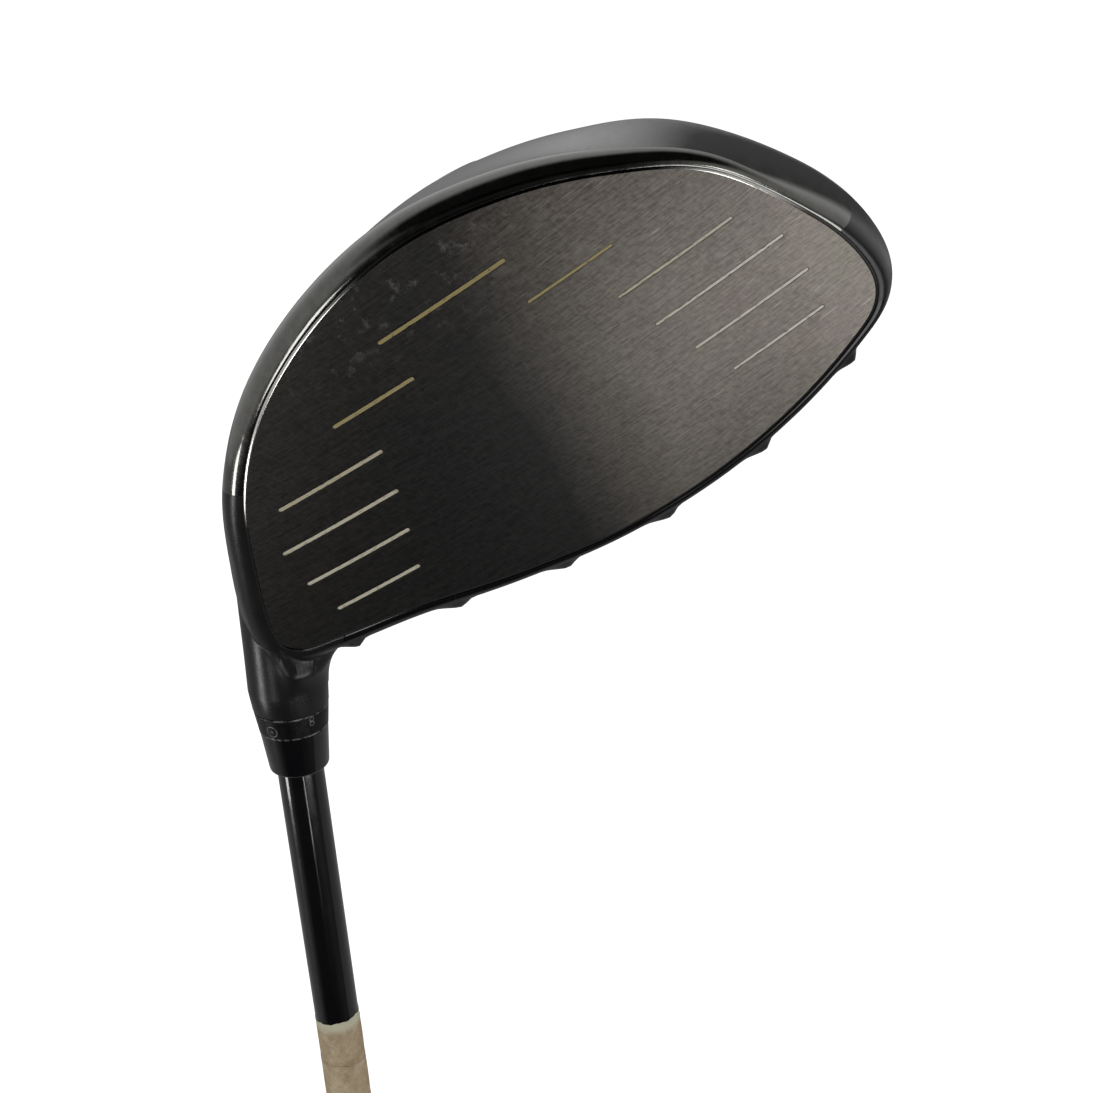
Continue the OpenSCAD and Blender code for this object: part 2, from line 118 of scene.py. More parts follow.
def across(curve, t):
    """Unit direction out of a closed curve."""
    d = curve(t + 0.02) - curve(t - 0.02)
    n = np.stack([d[..., 1], -d[..., 0]], -1)
    return n / np.linalg.norm(n, axis=-1, keepdims=True)


def by_side(values, c, s):
    return values[0] * c * c + np.where(s > 0, values[1], values[2]) * s * s


def skin(p, t, inset=0.0):
    """Point of the head, or inset under it, at share p of the way to the tail, t round the outline."""
    w, q = section(t), outline(t)
    front = face_point(q[..., 0], q[..., 1])[..., 0]
    a = np.arctan2(w[..., 1] / 34, w[..., 0] / 60)
    c, s = np.cos(a), np.sin(a)
    n, m = by_side(FULLNESS_N, c, s), by_side(FULLNESS_M, c, s)
    bulge = 0.038 - 0.03 * c + 0.05 * s + 0.072 * (c * c - s * s) + 0.017 * c * s
    roll = (np.where(c > 0, EDGE_ROLL[0], EDGE_ROLL[1]) * c * c
            + np.where(s > 0, EDGE_ROLL[2], EDGE_ROLL[3]) * s * s)
    depth = (front + TAIL_BACK) * p
    k = np.minimum(depth / roll / 1.5, 1)
    scale = (1 - p ** n) ** (1 / m) * (1 + bulge * np.sin(np.pi * p ** 0.55))
    edge = roll * np.sqrt(1 - (1 - k) ** 2) * (1 - p) - inset * (1 - p ** 4)
    g = TAIL * (p ** 1.2)[..., None] + w * scale[..., None] + across(section, t) * edge[..., None]
    x = front + (inset - TAIL_BACK - front) * p
    return np.stack([x, -FACE_TOE - g[..., 0], FACE_HEIGHT + g[..., 1]], -1)


def row_share(i):
    return (1 - np.cos(np.pi * np.asarray(i, float) / COARSE_ROWS)) / 2


def smooth(x, low, high):
    s = np.clip((x - low) / (high - low), 0, 1)
    return s * s * (3 - 2 * s)


def ridge_height(p, t):
    """Height of the turbulators: long slope on the heel side, steep end on the toe side."""
    total = np.zeros(np.broadcast(p, t).shape)
    for u in RIDGES:
        mid = np.interp(-u, -KNOTS[3:10, 0], np.arange(3, 10))
        a = (t - mid) / RIDGE_HALF
        side = smooth(a, 1.15, -0.5) * smooth(a, -1.05, -0.15)
        b = (p - 0.006) / RIDGE_BACK
        along = smooth(b, 0, 0.08) * np.clip(1 - b, 0, 1) ** 0.8
        total += RIDGE_H * side * along
    return total


# ---- Mesh helpers ----

def add(name, data):
    """A new object in the scene."""
    obj = bpy.data.objects.new(name, data)
    bpy.context.scene.collection.objects.link(obj)
    return obj


def make(name, points, faces, m, body, slot, replaces=(), sharp=35, uv=None, finish=None):
    """A piece from row-frame points, smooth but for edges sharper than an angle, in slot's finish."""
    mesh = bpy.data.meshes.new(name)
    mesh.from_pydata([tuple(p) for p in points], [], [tuple(int(i) for i in f) for f in faces])
    if uv is None:
        mesh.validate()
    else:
        layer = mesh.uv_layers.new(name="place")
        layer.data.foreach_set("uv", np.asarray(uv, np.float32).ravel())
    obj = add(name, mesh)
    mesh.materials.append(m[finish or slot])
    shade(obj, sharp)
    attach(obj, body)
    if replaces:
        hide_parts(*replaces)
    return obj


def shade(obj, sharp):
    """Joins the faces, turns them outward and shades them smooth but at sharp edges."""
    work = bmesh.new()
    work.from_mesh(obj.data)
    bmesh.ops.remove_doubles(work, verts=work.verts, dist=1e-7)
    bmesh.ops.recalc_face_normals(work, faces=work.faces)
    for f in work.faces:
        f.smooth = True
    for e in work.edges:
        if len(e.link_faces) == 2:
            e.smooth = e.calc_face_angle(0) < math.radians(sharp)
    work.to_mesh(obj.data)
    work.free()


def plain_object(name, points, faces):
    """A solid that only serves to cut another."""
    mesh = bpy.data.meshes.new(name)
    mesh.from_pydata([tuple(p) for p in points], [], faces)
    obj = add(name, mesh)
    shade(obj, 35)
    return obj


def cut(obj, cutter):
    """Takes the cutter's solid out of obj."""
    modifier = obj.modifiers.new("cut", "BOOLEAN")
    modifier.object = cutter
    modifier.solver = "EXACT"
    bpy.context.view_layer.update()
    evaluated = obj.evaluated_get(bpy.context.evaluated_depsgraph_get())
    mesh = bpy.data.meshes.new_from_object(evaluated)
    obj.modifiers.clear()
    obj.data = mesh
    bpy.data.objects.remove(cutter)


def lathe(profile, segments=96, bump=None):
    """Ring of a profile of (radius, z) in millimetres; bump(angle, z) adds to the radius."""
    a = np.linspace(0, 2 * np.pi, segments, endpoint=False)
    r, z = (np.array(c, float)[:, None] for c in zip(*profile))
    if bump is not None:
        r = r + bump(a[None, :], z)
    points = np.stack([r * np.cos(a), r * np.sin(a), z + 0 * a], -1) * MM
    return points.reshape(-1, 3), grid_faces(len(profile), segments, wrap=True)


def grid_faces(rows, columns, wrap=False, start=0):
    faces = []
    for i in range(rows - 1):
        for j in range(columns if wrap else columns - 1):
            k = (j + 1) % columns
            faces.append([start + i * columns + j, start + i * columns + k,
                          start + (i + 1) * columns + k, start + (i + 1) * columns + j])
    return faces


def fine_profile(points, step):
    """The profile with extra points, so that none are further apart than a step."""
    out = [points[0]]
    for a, b in zip(points, points[1:]):
        n = max(1, math.ceil(math.dist(a, b) / step))
        out += [tuple(np.array(a) + (np.array(b) - a) * k / n) for k in range(1, n + 1)]
    return out


def rounded(points, radius, steps=5):
    """The profile with its inner corners rounded."""
    out = [points[0]]
    for a, b, c in zip(points, points[1:], points[2:]):
        a, b, c = (np.array(q, float) for q in (a, b, c))
        cut_in = min(radius, np.linalg.norm(b - a) / 2.2, np.linalg.norm(c - b) / 2.2)
        p = b + (a - b) / np.linalg.norm(a - b) * cut_in
        q = b + (c - b) / np.linalg.norm(c - b) * cut_in
        for s in np.linspace(0, 1, steps):
            out.append(tuple((1 - s) ** 2 * p + 2 * s * (1 - s) * b + s * s * q))
    return out + [points[-1]]


# ---- Materials ----

class Nodes:
    """Short way to add procedural nodes to a tree."""

    def __init__(self, tree):
        self.tree = tree

    def node(self, kind, values=None, **settings):
        """A new node, with its settings and the plain values of its inputs."""
        made = self.tree.nodes.new(kind)
        for key, value in settings.items():
            setattr(made, key, value)
        for key, value in (values or {}).items():
            made.inputs[key].default_value = value
        return made

    def link(self, source, target):
        self.tree.links.new(source, target)

    def place(self, scale=(1, 1, 1), turn=(0, 0, 0), source="Object"):
        """Place in millimetres, turned and then stretched."""
        at = self.node("ShaderNodeTexCoord").outputs[source]
        spin = self.node("ShaderNodeMapping", {"Rotation": turn}, vector_type="POINT")
        self.link(at, spin.inputs["Vector"])
        unit = 1000 if source == "Object" else 1
        stretch = {"Scale": [unit * s for s in scale]}
        size = self.node("ShaderNodeMapping", stretch, vector_type="POINT")
        self.link(spin.outputs["Vector"], size.inputs["Vector"])
        return size.outputs["Vector"]

    def uv_place(self, scale=(1, 1, 1), turn=(0, 0, 0)):
        """The same in a piece's UV map."""
        return self.place(scale, turn, "UV")

    def noise(self, vector, scale=1.0, detail=3.0, roughness=0.5, low=0.0, high=1.0):
        values = {"Scale": scale, "Detail": detail, "Roughness": roughness}
        made = self.node("ShaderNodeTexNoise", values)
        self.link(vector, made.inputs["Vector"])
        return self.span(made.outputs["Fac"], low, high)

    def span(self, value, low, high, to_low=0.0, to_high=1.0):
        """Value taken from [low, high] to [to_low, to_high], clamped."""
        values = {"From Min": low, "From Max": high, "To Min": to_low, "To Max": to_high}
        made = self.node("ShaderNodeMapRange", values, clamp=True)
        self.link(value, made.inputs["Value"])
        return made.outputs["Result"]

    def math(self, operation, a, b=0.0):
        made = self.node("ShaderNodeMath", operation=operation)
        for socket, v in zip(made.inputs, (a, b)):
            if isinstance(v, (int, float)):
                socket.default_value = v
            else:
                self.link(v, socket)
        return made.outputs["Value"]

    def times(self, a, b):
        return self.math("MULTIPLY", a, b)

    def plus(self, a, b):
        return self.math("ADD", a, b)

    def mix(self, factor, a, b):
        """Colour a where the factor is 0 and b where it is 1."""
        made = self.node("ShaderNodeMix", data_type="RGBA")
        self.link(factor, made.inputs[0])
        for socket, v in ((made.inputs[6], a), (made.inputs[7], b)):
            if isinstance(v, tuple):
                socket.default_value = (*v, 1)
            else:
                self.link(v, socket)
        return made.outputs[2]

    def axis(self, vector, name):
        made = self.node("ShaderNodeSeparateXYZ")
        self.link(vector, made.inputs[0])
        return made.outputs[name]


class Shader(Nodes):
    """A Principled material; sockets take its plain values, as in Coat_Weight=0.5."""

    def __init__(self, name, **sockets):
        self.material = bpy.data.materials.new(name)
        self.material.use_nodes = True
        super().__init__(self.material.node_tree)
        self.main = self.tree.nodes["Principled BSDF"]
        for key, value in sockets.items():
            self.main.inputs[key.replace("_", " ")].default_value = value
        self.relief = None

    def set(self, socket, value):
        self.link(value, self.main.inputs[socket])

    def bump(self, height, distance, strength=1.0):
        """Adds relief; distance in millimetres."""
        made = self.node("ShaderNodeBump", {"Distance": distance * MM, "Strength": strength})
        self.link(height, made.inputs["Height"])
        if self.relief is not None:
            self.link(self.relief, made.inputs["Normal"])
        self.relief = made.outputs["Normal"]
        self.set("Normal", self.relief)


def worn_surface(name, dark, light, metallic, rough, grain=6.0, relief=0.003, scratches=0.0,
                 **sockets):
    """Plain finish with blotches in colour, an uneven gloss, fine grain and a few scratches."""
    s = Shader(name, Metallic=metallic, **sockets)
    at = s.place()
    blotch = s.noise(at, 0.06, 4, 0.6, 0.3, 0.7)
    colour = s.mix(blotch, dark, light)
    gloss = s.noise(at, 0.25, 5, 0.65, 0.3, 0.75)
    s.set("Roughness", s.span(gloss, 0, 1, rough[0], rough[1]))
    if scratches:
        mark = scratch_mask(s, 0.9)
        colour = s.mix(s.times(mark, scratches), colour, (0.5, 0.5, 0.5))
    s.set("Base Color", colour)
    s.bump(s.noise(at, grain, 3, 0.6), relief)
    return s.material


def scratch_mask(s, amount):
    """Thin broken hairlines in two directions."""
    lines = None
    for turn in ((0.3, 0.7, 0.2), (1.2, 0.1, 0.9)):
        fine = s.noise(s.place((0.12, 6, 0.12), turn), 1.0, 2, 0.4, 0.68, 0.74)
        where = s.noise(s.place((0.05, 0.05, 0.05), turn), 1.0, 2, 0.5, 0.55, 0.7)
        one = s.times(fine, where)
        lines = one if lines is None else s.math("MAXIMUM", lines, one)
    return s.times(lines, amount)


def face_material():
    """Brushed plate, nearly black from the heel to the centre and taupe at the toe: partly wear, partly
    a painted reflection of the lamps.
    """
    s = Shader("face_metal", Metallic=1.0)
    at = s.uv_place()
    u, v = s.axis(at, "X"), s.axis(at, "Y")
    long_grain = s.noise(s.uv_place((0.12, 2.2, 1)), 1.0, 5, 0.75, 0.3, 0.7)
    fine_grain = s.noise(s.uv_place((0.45, 3.2, 1)), 1.0, 3, 0.7, 0.3, 0.7)
    weave = s.noise(s.uv_place((1.5, 0.7, 1), (0, 0, 0.5)), 1.0, 4, 0.8, 0.3, 0.7)
    cloud = s.noise(at, 0.05, 5, 0.6)
    # From the heel to the toe the plate goes from dark to taupe: partly wear, partly a painted
    # reflection of the lamps on the toe side.
    side = s.plus(s.plus(u, s.times(v, 0.15)), s.times(cloud, 10.0))
    worn = s.span(side, 4, 24)
    tint = s.noise(at, 0.14, 3, 0.6, 0.38, 0.62)
    patch = s.noise(at, 0.07, 5, 0.65, 0.42, 0.62)
    # The taupe's lighter and darker zones are partly painted reflection and painted shade, with some
    # real tint.
    taupe = s.mix(tint, (0.137, 0.130, 0.109), (0.157, 0.134, 0.124))
    taupe = s.mix(s.span(side, 56, 50, 0, 0.35), taupe, (0.06, 0.058, 0.05))
    taupe = s.mix(s.span(u, 38, 8, 0, 0.75), taupe, (0.23, 0.21, 0.187))
    taupe = s.mix(s.times(patch, 0.35), taupe, (0.085, 0.084, 0.078))
    base = s.mix(worn, (0.056, 0.056, 0.056), taupe)
    heel_brown = s.times(s.span(u, -20, -55), s.span(v, 16, -6, 0.3, 1))
    base = s.mix(s.times(heel_brown, 0.6), base, (0.13, 0.118, 0.105))
    low_brown = s.times(s.span(v, -4, -24), s.span(s.noise(at, 0.09, 4, 0.6), 0.35, 0.65))
    base = s.mix(s.times(low_brown, 0.45), base, (0.09, 0.075, 0.064))
    texture = s.span(s.plus(s.plus(long_grain, fine_grain), weave), 0.8, 2.2)
    base = s.mix(s.times(texture, s.span(worn, 0, 1, 0.04, 0.26)), base, (0.5, 0.45, 0.4))
    base = s.mix(s.span(texture, 0.7, 0.1, 0, 0.25), base, (0.03, 0.028, 0.026))
    base = s.mix(face_marks(s, at, u, v), base, (0.5, 0.48, 0.46))
    s.set("Base Color", base)
    s.set("Roughness", s.span(s.plus(long_grain, weave), 0, 2, 0.34, 0.52))
    s.bump(long_grain, 0.012, 0.5)
    s.bump(weave, 0.01, 0.5)
    return s.material


def face_marks(s, at, u, v):
    """Chalky ball marks near the sole edge, and pale nicks along the grain."""
    chalk = s.noise(at, 0.3, 6, 0.72, 0.56, 0.74)
    low_edge = s.times(s.span(v, -17, -26), s.span(s.math("ABSOLUTE", s.plus(u, 4.0)), 30, 12))
    dashes = s.noise(s.uv_place((0.14, 3.6, 1), (0, 0, 0.05)), 1.0, 2, 0.5, 0.67, 0.73)
    specks = s.noise(at, 1.3, 3, 0.7, 0.70, 0.76)
    nicks = s.times(s.plus(dashes, specks), s.span(u, -5, 20, 0.02, 0.42))
    marks = s.plus(s.times(s.times(chalk, low_edge), 0.55), nicks)
    return s.math("MINIMUM", marks, 0.7)


def rim_material():
    """Bevel of the face plate, its U the knot: bright metal at two places of the sole edge, a painted
    highlight, and lighter at the toe end, painted light over the gap's shade.
    """
    s = Shader("rim_metal", Metallic=1.0, Roughness=0.16)
    along = s.axis(s.uv_place(), "X")
    # Bright metal on the heel and toe stretches of the bevel is a painted highlight.
    heel = s.times(s.span(along, 12.6, 13.2), s.span(along, 15.6, 14.6))
    toe = s.times(s.span(along, 18.5, 18.9), s.span(along, 19.9, 19.5))
    painted_highlight = s.times(s.plus(heel, toe), s.noise(s.place(), 0.5, 4, 0.7, 0.15, 0.4))
    # Lighter metal at the toe end is painted light over the shade of the gap behind the bevel.
    toe_end = s.math("MAXIMUM", s.span(along, 2.4, 1.4), s.span(along, 19.4, 19.9))
    base = s.mix(toe_end, (0.035, 0.035, 0.035), (0.11, 0.107, 0.1))
    s.set("Base Color", s.mix(s.times(painted_highlight, 0.9), base, (0.8, 0.79, 0.76)))
    s.bump(s.noise(s.place(), 3.0, 3, 0.6), 0.004)
    return s.material


def line_material():
    """Scoreline paint: cream, olive towards the sole, paler at the toe, chipped in places."""
    s = Shader("line_paint", Roughness=0.6)
    at = s.uv_place()
    base = s.mix(s.span(s.axis(at, "Y"), -4, -16), (0.68, 0.63, 0.48), (0.42, 0.34, 0.14))
    pale = s.times(s.span(s.axis(at, "X"), 15, 45), s.span(s.axis(at, "Y"), -16, 0))
    base = s.mix(pale, base, (0.95, 0.92, 0.82))
    chips = s.noise(s.uv_place((0.7, 3, 1)), 1.0, 4, 0.7, 0.56, 0.66)
    s.set("Base Color", s.mix(chips, base, (0.1, 0.095, 0.08)))
    s.bump(s.noise(s.place(), 3.0, 3, 0.6), 0.03)
    return s.material


def mark_material():
    s = Shader("mark_paint", Roughness=0.5)
    wear = s.noise(s.place(), 1.2, 4, 0.7, 0.4, 0.6)
    s.set("Base Color", s.mix(wear, (0.26, 0.25, 0.22), (0.05, 0.05, 0.05)))
    return s.material


def chrome_material():
    """Smoked, polished metal with a haze of fine wipe marks, and streaks along the band painted into
    its colour as a painted reflection.
    """
    s = Shader("smoked_chrome", Metallic=1.0, Coat_Weight=0.3, Coat_Roughness=0.05)
    at = s.place()
    haze = s.noise(s.place((0.08, 0.5, 0.5)), 1.0, 5, 0.7, 0.35, 0.7)
    mark = scratch_mask(s, 0.8)
    # Streaks along the band's length are a painted reflection.
    reflection_streak = s.noise(s.uv_place((0.5, 60, 1)), 1.0, 4, 0.7, 0.3, 0.7)
    haze_and_reflection_streaks = s.times(s.plus(haze, reflection_streak), 0.5)
    base = s.mix(haze_and_reflection_streaks, (0.12, 0.12, 0.113), (0.22, 0.216, 0.2))
    s.set("Base Color", s.mix(s.times(mark, 0.6), base, (0.5, 0.5, 0.48)))
    s.set("Roughness", s.plus(s.span(haze, 0, 1, 0.07, 0.2), s.times(mark, 0.2)))
    s.bump(s.noise(at, 0.7, 4, 0.6), 0.01)
    return s.material


def tape_material():
    """Creped paper tape, stained and mottled."""
    s = Shader("masking_tape", Roughness=0.85)
    at = s.place()
    stain = s.noise(at, 0.35, 6, 0.7, 0.3, 0.72)
    fleck = s.noise(at, 1.6, 4, 0.7, 0.55, 0.7)
    base = s.mix(stain, (0.42, 0.30, 0.17), (0.74, 0.61, 0.42))
    base = s.mix(s.times(fleck, 0.7), base, (0.36, 0.26, 0.16))
    pale_edge = s.span(s.axis(at, "Z"), CLUB_LEN - 142.2, CLUB_LEN - 140.6)
    s.set("Base Color", s.mix(s.times(pale_edge, 0.7), base, (0.78, 0.8, 0.6)))
    s.bump(s.noise(s.place((1, 1, 0.4)), 4.0, 4, 0.7), 0.05)
    return s.material


def rubber_material(name, colour):
    """Matt rubber with grey dust on it."""
    s = Shader(name)
    at = s.place()
    dust = s.noise(at, 0.12, 5, 0.7, 0.45, 0.8)
    s.set("Base Color", s.mix(dust, colour, tuple(2.2 * c for c in colour)))
    s.set("Roughness", s.span(dust, 0, 1, 0.6, 0.88))
    s.bump(s.noise(at, 5.0, 3, 0.7), 0.04)
    return s.material


def sleeve_material():
    """Black anodised sleeve with broken lighter lines at its two edges."""
    s = Shader("sleeve_black", Metallic=0.7)
    at = s.place()
    z = s.axis(at, "Z")
    low, high = CLUB_LEN - COLLAR_TOP, CLUB_LEN - NECK_TOP - 0.05
    # Lighter broken lines at the sleeve's two edges.
    lines = [s.span(s.math("ABSOLUTE", s.math("SUBTRACT", z, edge)), 0.08, 0.26, 1, 0)
             for edge in (low + 0.12, high - 0.12)]
    broken = s.noise(at, 0.8, 4, 0.7, 0.42, 0.58)
    edge_lines = s.times(s.plus(*lines), broken)
    base = s.mix(s.noise(at, 0.4, 4, 0.6), (0.008, 0.008, 0.009), (0.02, 0.02, 0.022))
    s.set("Base Color", s.mix(s.times(edge_lines, 0.8), base, (0.42, 0.4, 0.36)))
    s.set("Roughness", s.span(s.noise(at, 0.9, 4, 0.6), 0.3, 0.7, 0.25, 0.42))
    s.bump(s.noise(at, 6.0, 3, 0.6), 0.006)
    return s.material


def materials():
    """All finishes, by the name of their slot."""
    m = {
        "face_metal": face_material(),
        "rim_metal": rim_material(),
        "line_paint": line_material(),
        "mark_paint": mark_material(),
        "smoked_chrome": chrome_material(),
        "sleeve_black": sleeve_material(),
        "masking_tape": tape_material(),
        "grip_rubber": rubber_material("grip_rubber", (0.018, 0.018, 0.019)),
        "cap_rubber": rubber_material("cap_rubber", (0.022, 0.022, 0.023)),
    }

    def worn(name, dark, light, metallic, rough, **more):
        m[name] = worn_surface(name, dark, light, metallic, rough, **more)

    # Paints, lacquers and plastics
    worn("head_satin", (0.02, 0.02, 0.022), (0.03, 0.03, 0.032), 0.5, (0.24, 0.36),
         grain=9.0, relief=0.005, scratches=0.02)
    worn("crown_paint", (0.004, 0.004, 0.005), (0.008, 0.008, 0.009), 0.0, (0.1, 0.2),
         grain=2.5, relief=0.004, scratches=0.1, Specular_IOR_Level=0.4)
    gloss_black = ((0.002, 0.002, 0.003), (0.004, 0.004, 0.005), 0.0)
    worn("ferrule_gloss", *gloss_black, (0.08, 0.2),
         grain=1.5, relief=0.006, scratches=0.1, Coat_Weight=0.5)
    worn("shaft_gloss", *gloss_black, (0.08, 0.17),
         grain=1.2, relief=0.006, scratches=0.06, Coat_Weight=0.5, Coat_Roughness=0.04)
    worn("plug_plastic", (0.6, 0.58, 0.5), (0.7, 0.68, 0.6), 0.0, (0.4, 0.6))
    worn("grip_tape", (0.6, 0.56, 0.44), (0.72, 0.68, 0.56), 0.0, (0.7, 0.85), grain=4.0, relief=0.03)

    # Metals
    worn("badge", (0.3, 0.3, 0.31), (0.42, 0.42, 0.43), 1.0, (0.25, 0.4),
         grain=8.0, relief=0.006, scratches=0.3)
    worn("steel", (0.42, 0.42, 0.43), (0.56, 0.56, 0.56), 1.0, (0.2, 0.35),
         grain=8.0, relief=0.004, scratches=0.3)
    worn("dark_steel", (0.1, 0.1, 0.1), (0.17, 0.17, 0.17), 0.9, (0.3, 0.45))
    worn("track_black", (0.02, 0.02, 0.022), (0.04, 0.04, 0.042), 0.6, (0.35, 0.5),
         grain=7.0, relief=0.006, scratches=0.3)
    worn("weight_metal", (0.2, 0.2, 0.21), (0.31, 0.31, 0.32), 1.0, (0.35, 0.5),
         grain=10.0, relief=0.02, scratches=0.3)
    worn("slug_metal", (0.45, 0.44, 0.42), (0.56, 0.55, 0.52), 1.0, (0.22, 0.35))
    return m


# ---- Head ----

FINE_ROWS, FINE_COLUMNS = 6, 18        # cells in each coarse row, and from knot to knot


def in_crown(i, t):
    return (i < CROWN_ROWS) & (t >= CROWN_FROM) & (t < CROWN_TO)


def in_band(i, t):
    return (i < BAND_ROWS) & ((t >= BAND_FROM) | (t < BAND_TO - N_KNOTS))


def in_body(i, t):
    return ~in_crown(i, t) & ~in_band(i, t)


def axis_radius(points):
    """Distance from the shaft's axis and place along it, for row-frame points in metres."""
    return np.hypot(points[..., 0], points[..., 1]) / MM, CLUB_LEN - points[..., 2] / MM


def face_place(points):
    """Where points of the head frame stand over the face, (toe-ward, crown-ward)."""
    return np.stack([-FACE_TOE - points[:, 1], (points[:, 2] - FACE_HEIGHT) / math.cos(LOFT)], -1)


def inside_ring(flat, ring):
    """Which of the flat points lie inside a closed ring: a ray from them crosses it oddly often."""
    a, b = ring, np.roll(ring, -1, 0)
    u, v = flat[:, :1], flat[:, 1:]
    spans = (a[:, 1] > v) != (b[:, 1] > v)
    crossing = (b[:, 0] - a[:, 0]) * (v - a[:, 1]) / (b[:, 1] - a[:, 1] + 1e-12) + a[:, 0]
    return (spans & (u < crossing)).sum(1) % 2 == 1


def outline_distance(flat):
    """Distance of flat points outside the face outline, 0 inside it."""
    ring = outline(np.linspace(0, N_KNOTS, 121)[:-1])
    a, b = ring, np.roll(ring, -1, 0)
    q = flat[:, None, :]
    along = np.clip(((q - a) * (b - a)).sum(-1) / ((b - a) ** 2).sum(-1), 0, 1)
    gap = np.linalg.norm(q - a - along[..., None] * (b - a), axis=-1).min(1)
    return np.where(inside_ring(flat, ring), 0, gap)


def head_from_row(points):
    c, s = math.cos(LIE), math.sin(LIE)
    x, y, z = np.moveaxis(points / MM, -1, 0)
    up = CLUB_LEN - z
    return np.stack([x, c * up - s * y, s * up + c * y], -1)


class NeckBlend:
    """Smooth union of the head's skin and the neck, close to the shaft's axis."""

    # The neck is slimmer than its mouth by INSET at these distances up the shaft
    INSET_AT = [38, 46, 59, NECK_TOP - 4, NECK_TOP]
    INSET = [1.7, 0.7, 0.3, 0, 0.35]
    FAN_CENTRE = 36.0           # the patch is a fan of rays from here on the axis
    FAN_START = math.atan2(NECK_R, 66 - FAN_CENTRE)
    FAN_WIDEST = 80             # degrees
    RAY_FROM, RAY_TO = 2.0, 45.0

    def __init__(self):
        t = np.linspace(0, N_KNOTS, 161)[:-1]
        p = row_share(np.linspace(0, COARSE_ROWS, 73))[:-1]
        n_rings = 24
        shell = row(skin(p[:, None], t[None, :]))
        rings = [row(face_point(*(outline(t).T * r))) for r in np.linspace(0.02, 1, n_rings)]
        points = np.concatenate([shell.reshape(-1, 3), np.concatenate(rings)])
        faces = grid_faces(len(p), len(t), wrap=True)
        faces += grid_faces(n_rings, len(t), wrap=True, start=shell.size // 3)
        self.tree = BVHTree.FromPolygons([tuple(q) for q in points], [f[::-1] for f in faces])
        self.sign = 1.0
        in_the_head = np.array([[0.0, 20 * MM, (CLUB_LEN - 40) * MM]])
        if self.body(in_the_head)[0] > 0:
            self.sign = -1.0

    def body(self, points):
        """Distance outside the skin."""
        out = np.empty(len(points))
        for i, q in enumerate(points):
            at, normal, _, distance = self.tree.find_nearest(Vector(q))
            out[i] = math.copysign(distance / MM, (Vector(q) - at).dot(normal))
        return out * self.sign

    def reach(self, points):
        """How widely the union is smoothed: not over the face, nor where neck and skin run on."""
        h = head_from_row(points)
        flat = face_place(h)
        behind = face_point(flat[:, 0], flat[:, 1])[:, 0] - h[:, 0]
        clear = np.hypot(outline_distance(flat), np.maximum(behind - 1.5, 0))
        r, up = axis_radius(points)
        away = (points[:, 1] * 0.87 - points[:, 0] * 0.5) / MM / r
        return BLEND * smooth(clear, 0, 5) * smooth(up, 49, 58) * smooth(away, -0.75, -0.1) + 0.01

    def neck(self, points):
        """Distance outside the neck."""
        r, up = axis_radius(points)
        return r - NECK_R + np.interp(up, self.INSET_AT, self.INSET)

    def value(self, points):
        """Below 0 inside the blend; it lies a little under the skin where it runs out."""
        a, b, k = self.body(points), self.neck(points), self.reach(points)
        h = np.clip(0.5 + 0.5 * (b - a) / k, 0, 1)
        sink = 0.25 * smooth(b - k, 0, 0.5)
        return b * (1 - h) + a * h - k * h * (1 - h) + sink

    def hidden(self, points):
        """True for skin points that lie well under the blended surface."""
        return self.neck(points) < self.reach(points) - 0.6

    def hit(self, angle, turn):
        """Where rays of the fan, at an angle to the axis and a turn round it, leave the blend."""
        centre = np.array([0, 0, (CLUB_LEN - self.FAN_CENTRE) * MM])
        d = np.stack([np.sin(angle) * np.cos(turn), np.sin(angle) * np.sin(turn), -np.cos(angle)], -1)
        near, far = np.full(len(turn), self.RAY_FROM * MM), np.full(len(turn), self.RAY_TO * MM)
        for _ in range(16):
            mid = (near + far) / 2
            out = self.value(centre + d * mid[:, None]) > 0
            far, near = np.where(out, mid, far), np.where(out, near, mid)
        return centre + d * near[:, None]

    def patch(self, columns=120, rows=48):
        """Grid of the blended surface, out to where the skin alone takes over."""
        a = np.linspace(0, 2 * np.pi, columns, endpoint=False)
        stop = np.full(columns, np.nan)
        for angle in np.radians(np.arange(18, self.FAN_WIDEST, 3)):
            at = self.hit(np.full(columns, angle), a)
            r, up = axis_radius(at)
            done = (self.neck(at) > self.reach(at) + 0.4) | (up < 42.5)
            stop = np.where(np.isnan(stop) & done, angle, stop)
        stop = np.where(np.isnan(stop), math.radians(self.FAN_WIDEST), stop)
        wide = np.concatenate([stop[-4:], stop, stop[:4]])
        stop = np.maximum(np.convolve(wide, np.ones(9) / 9, "valid"), stop)
        steps = np.linspace(0, 1, rows)
        return np.stack([self.hit(self.FAN_START + (stop - self.FAN_START) * s, a) for s in steps])


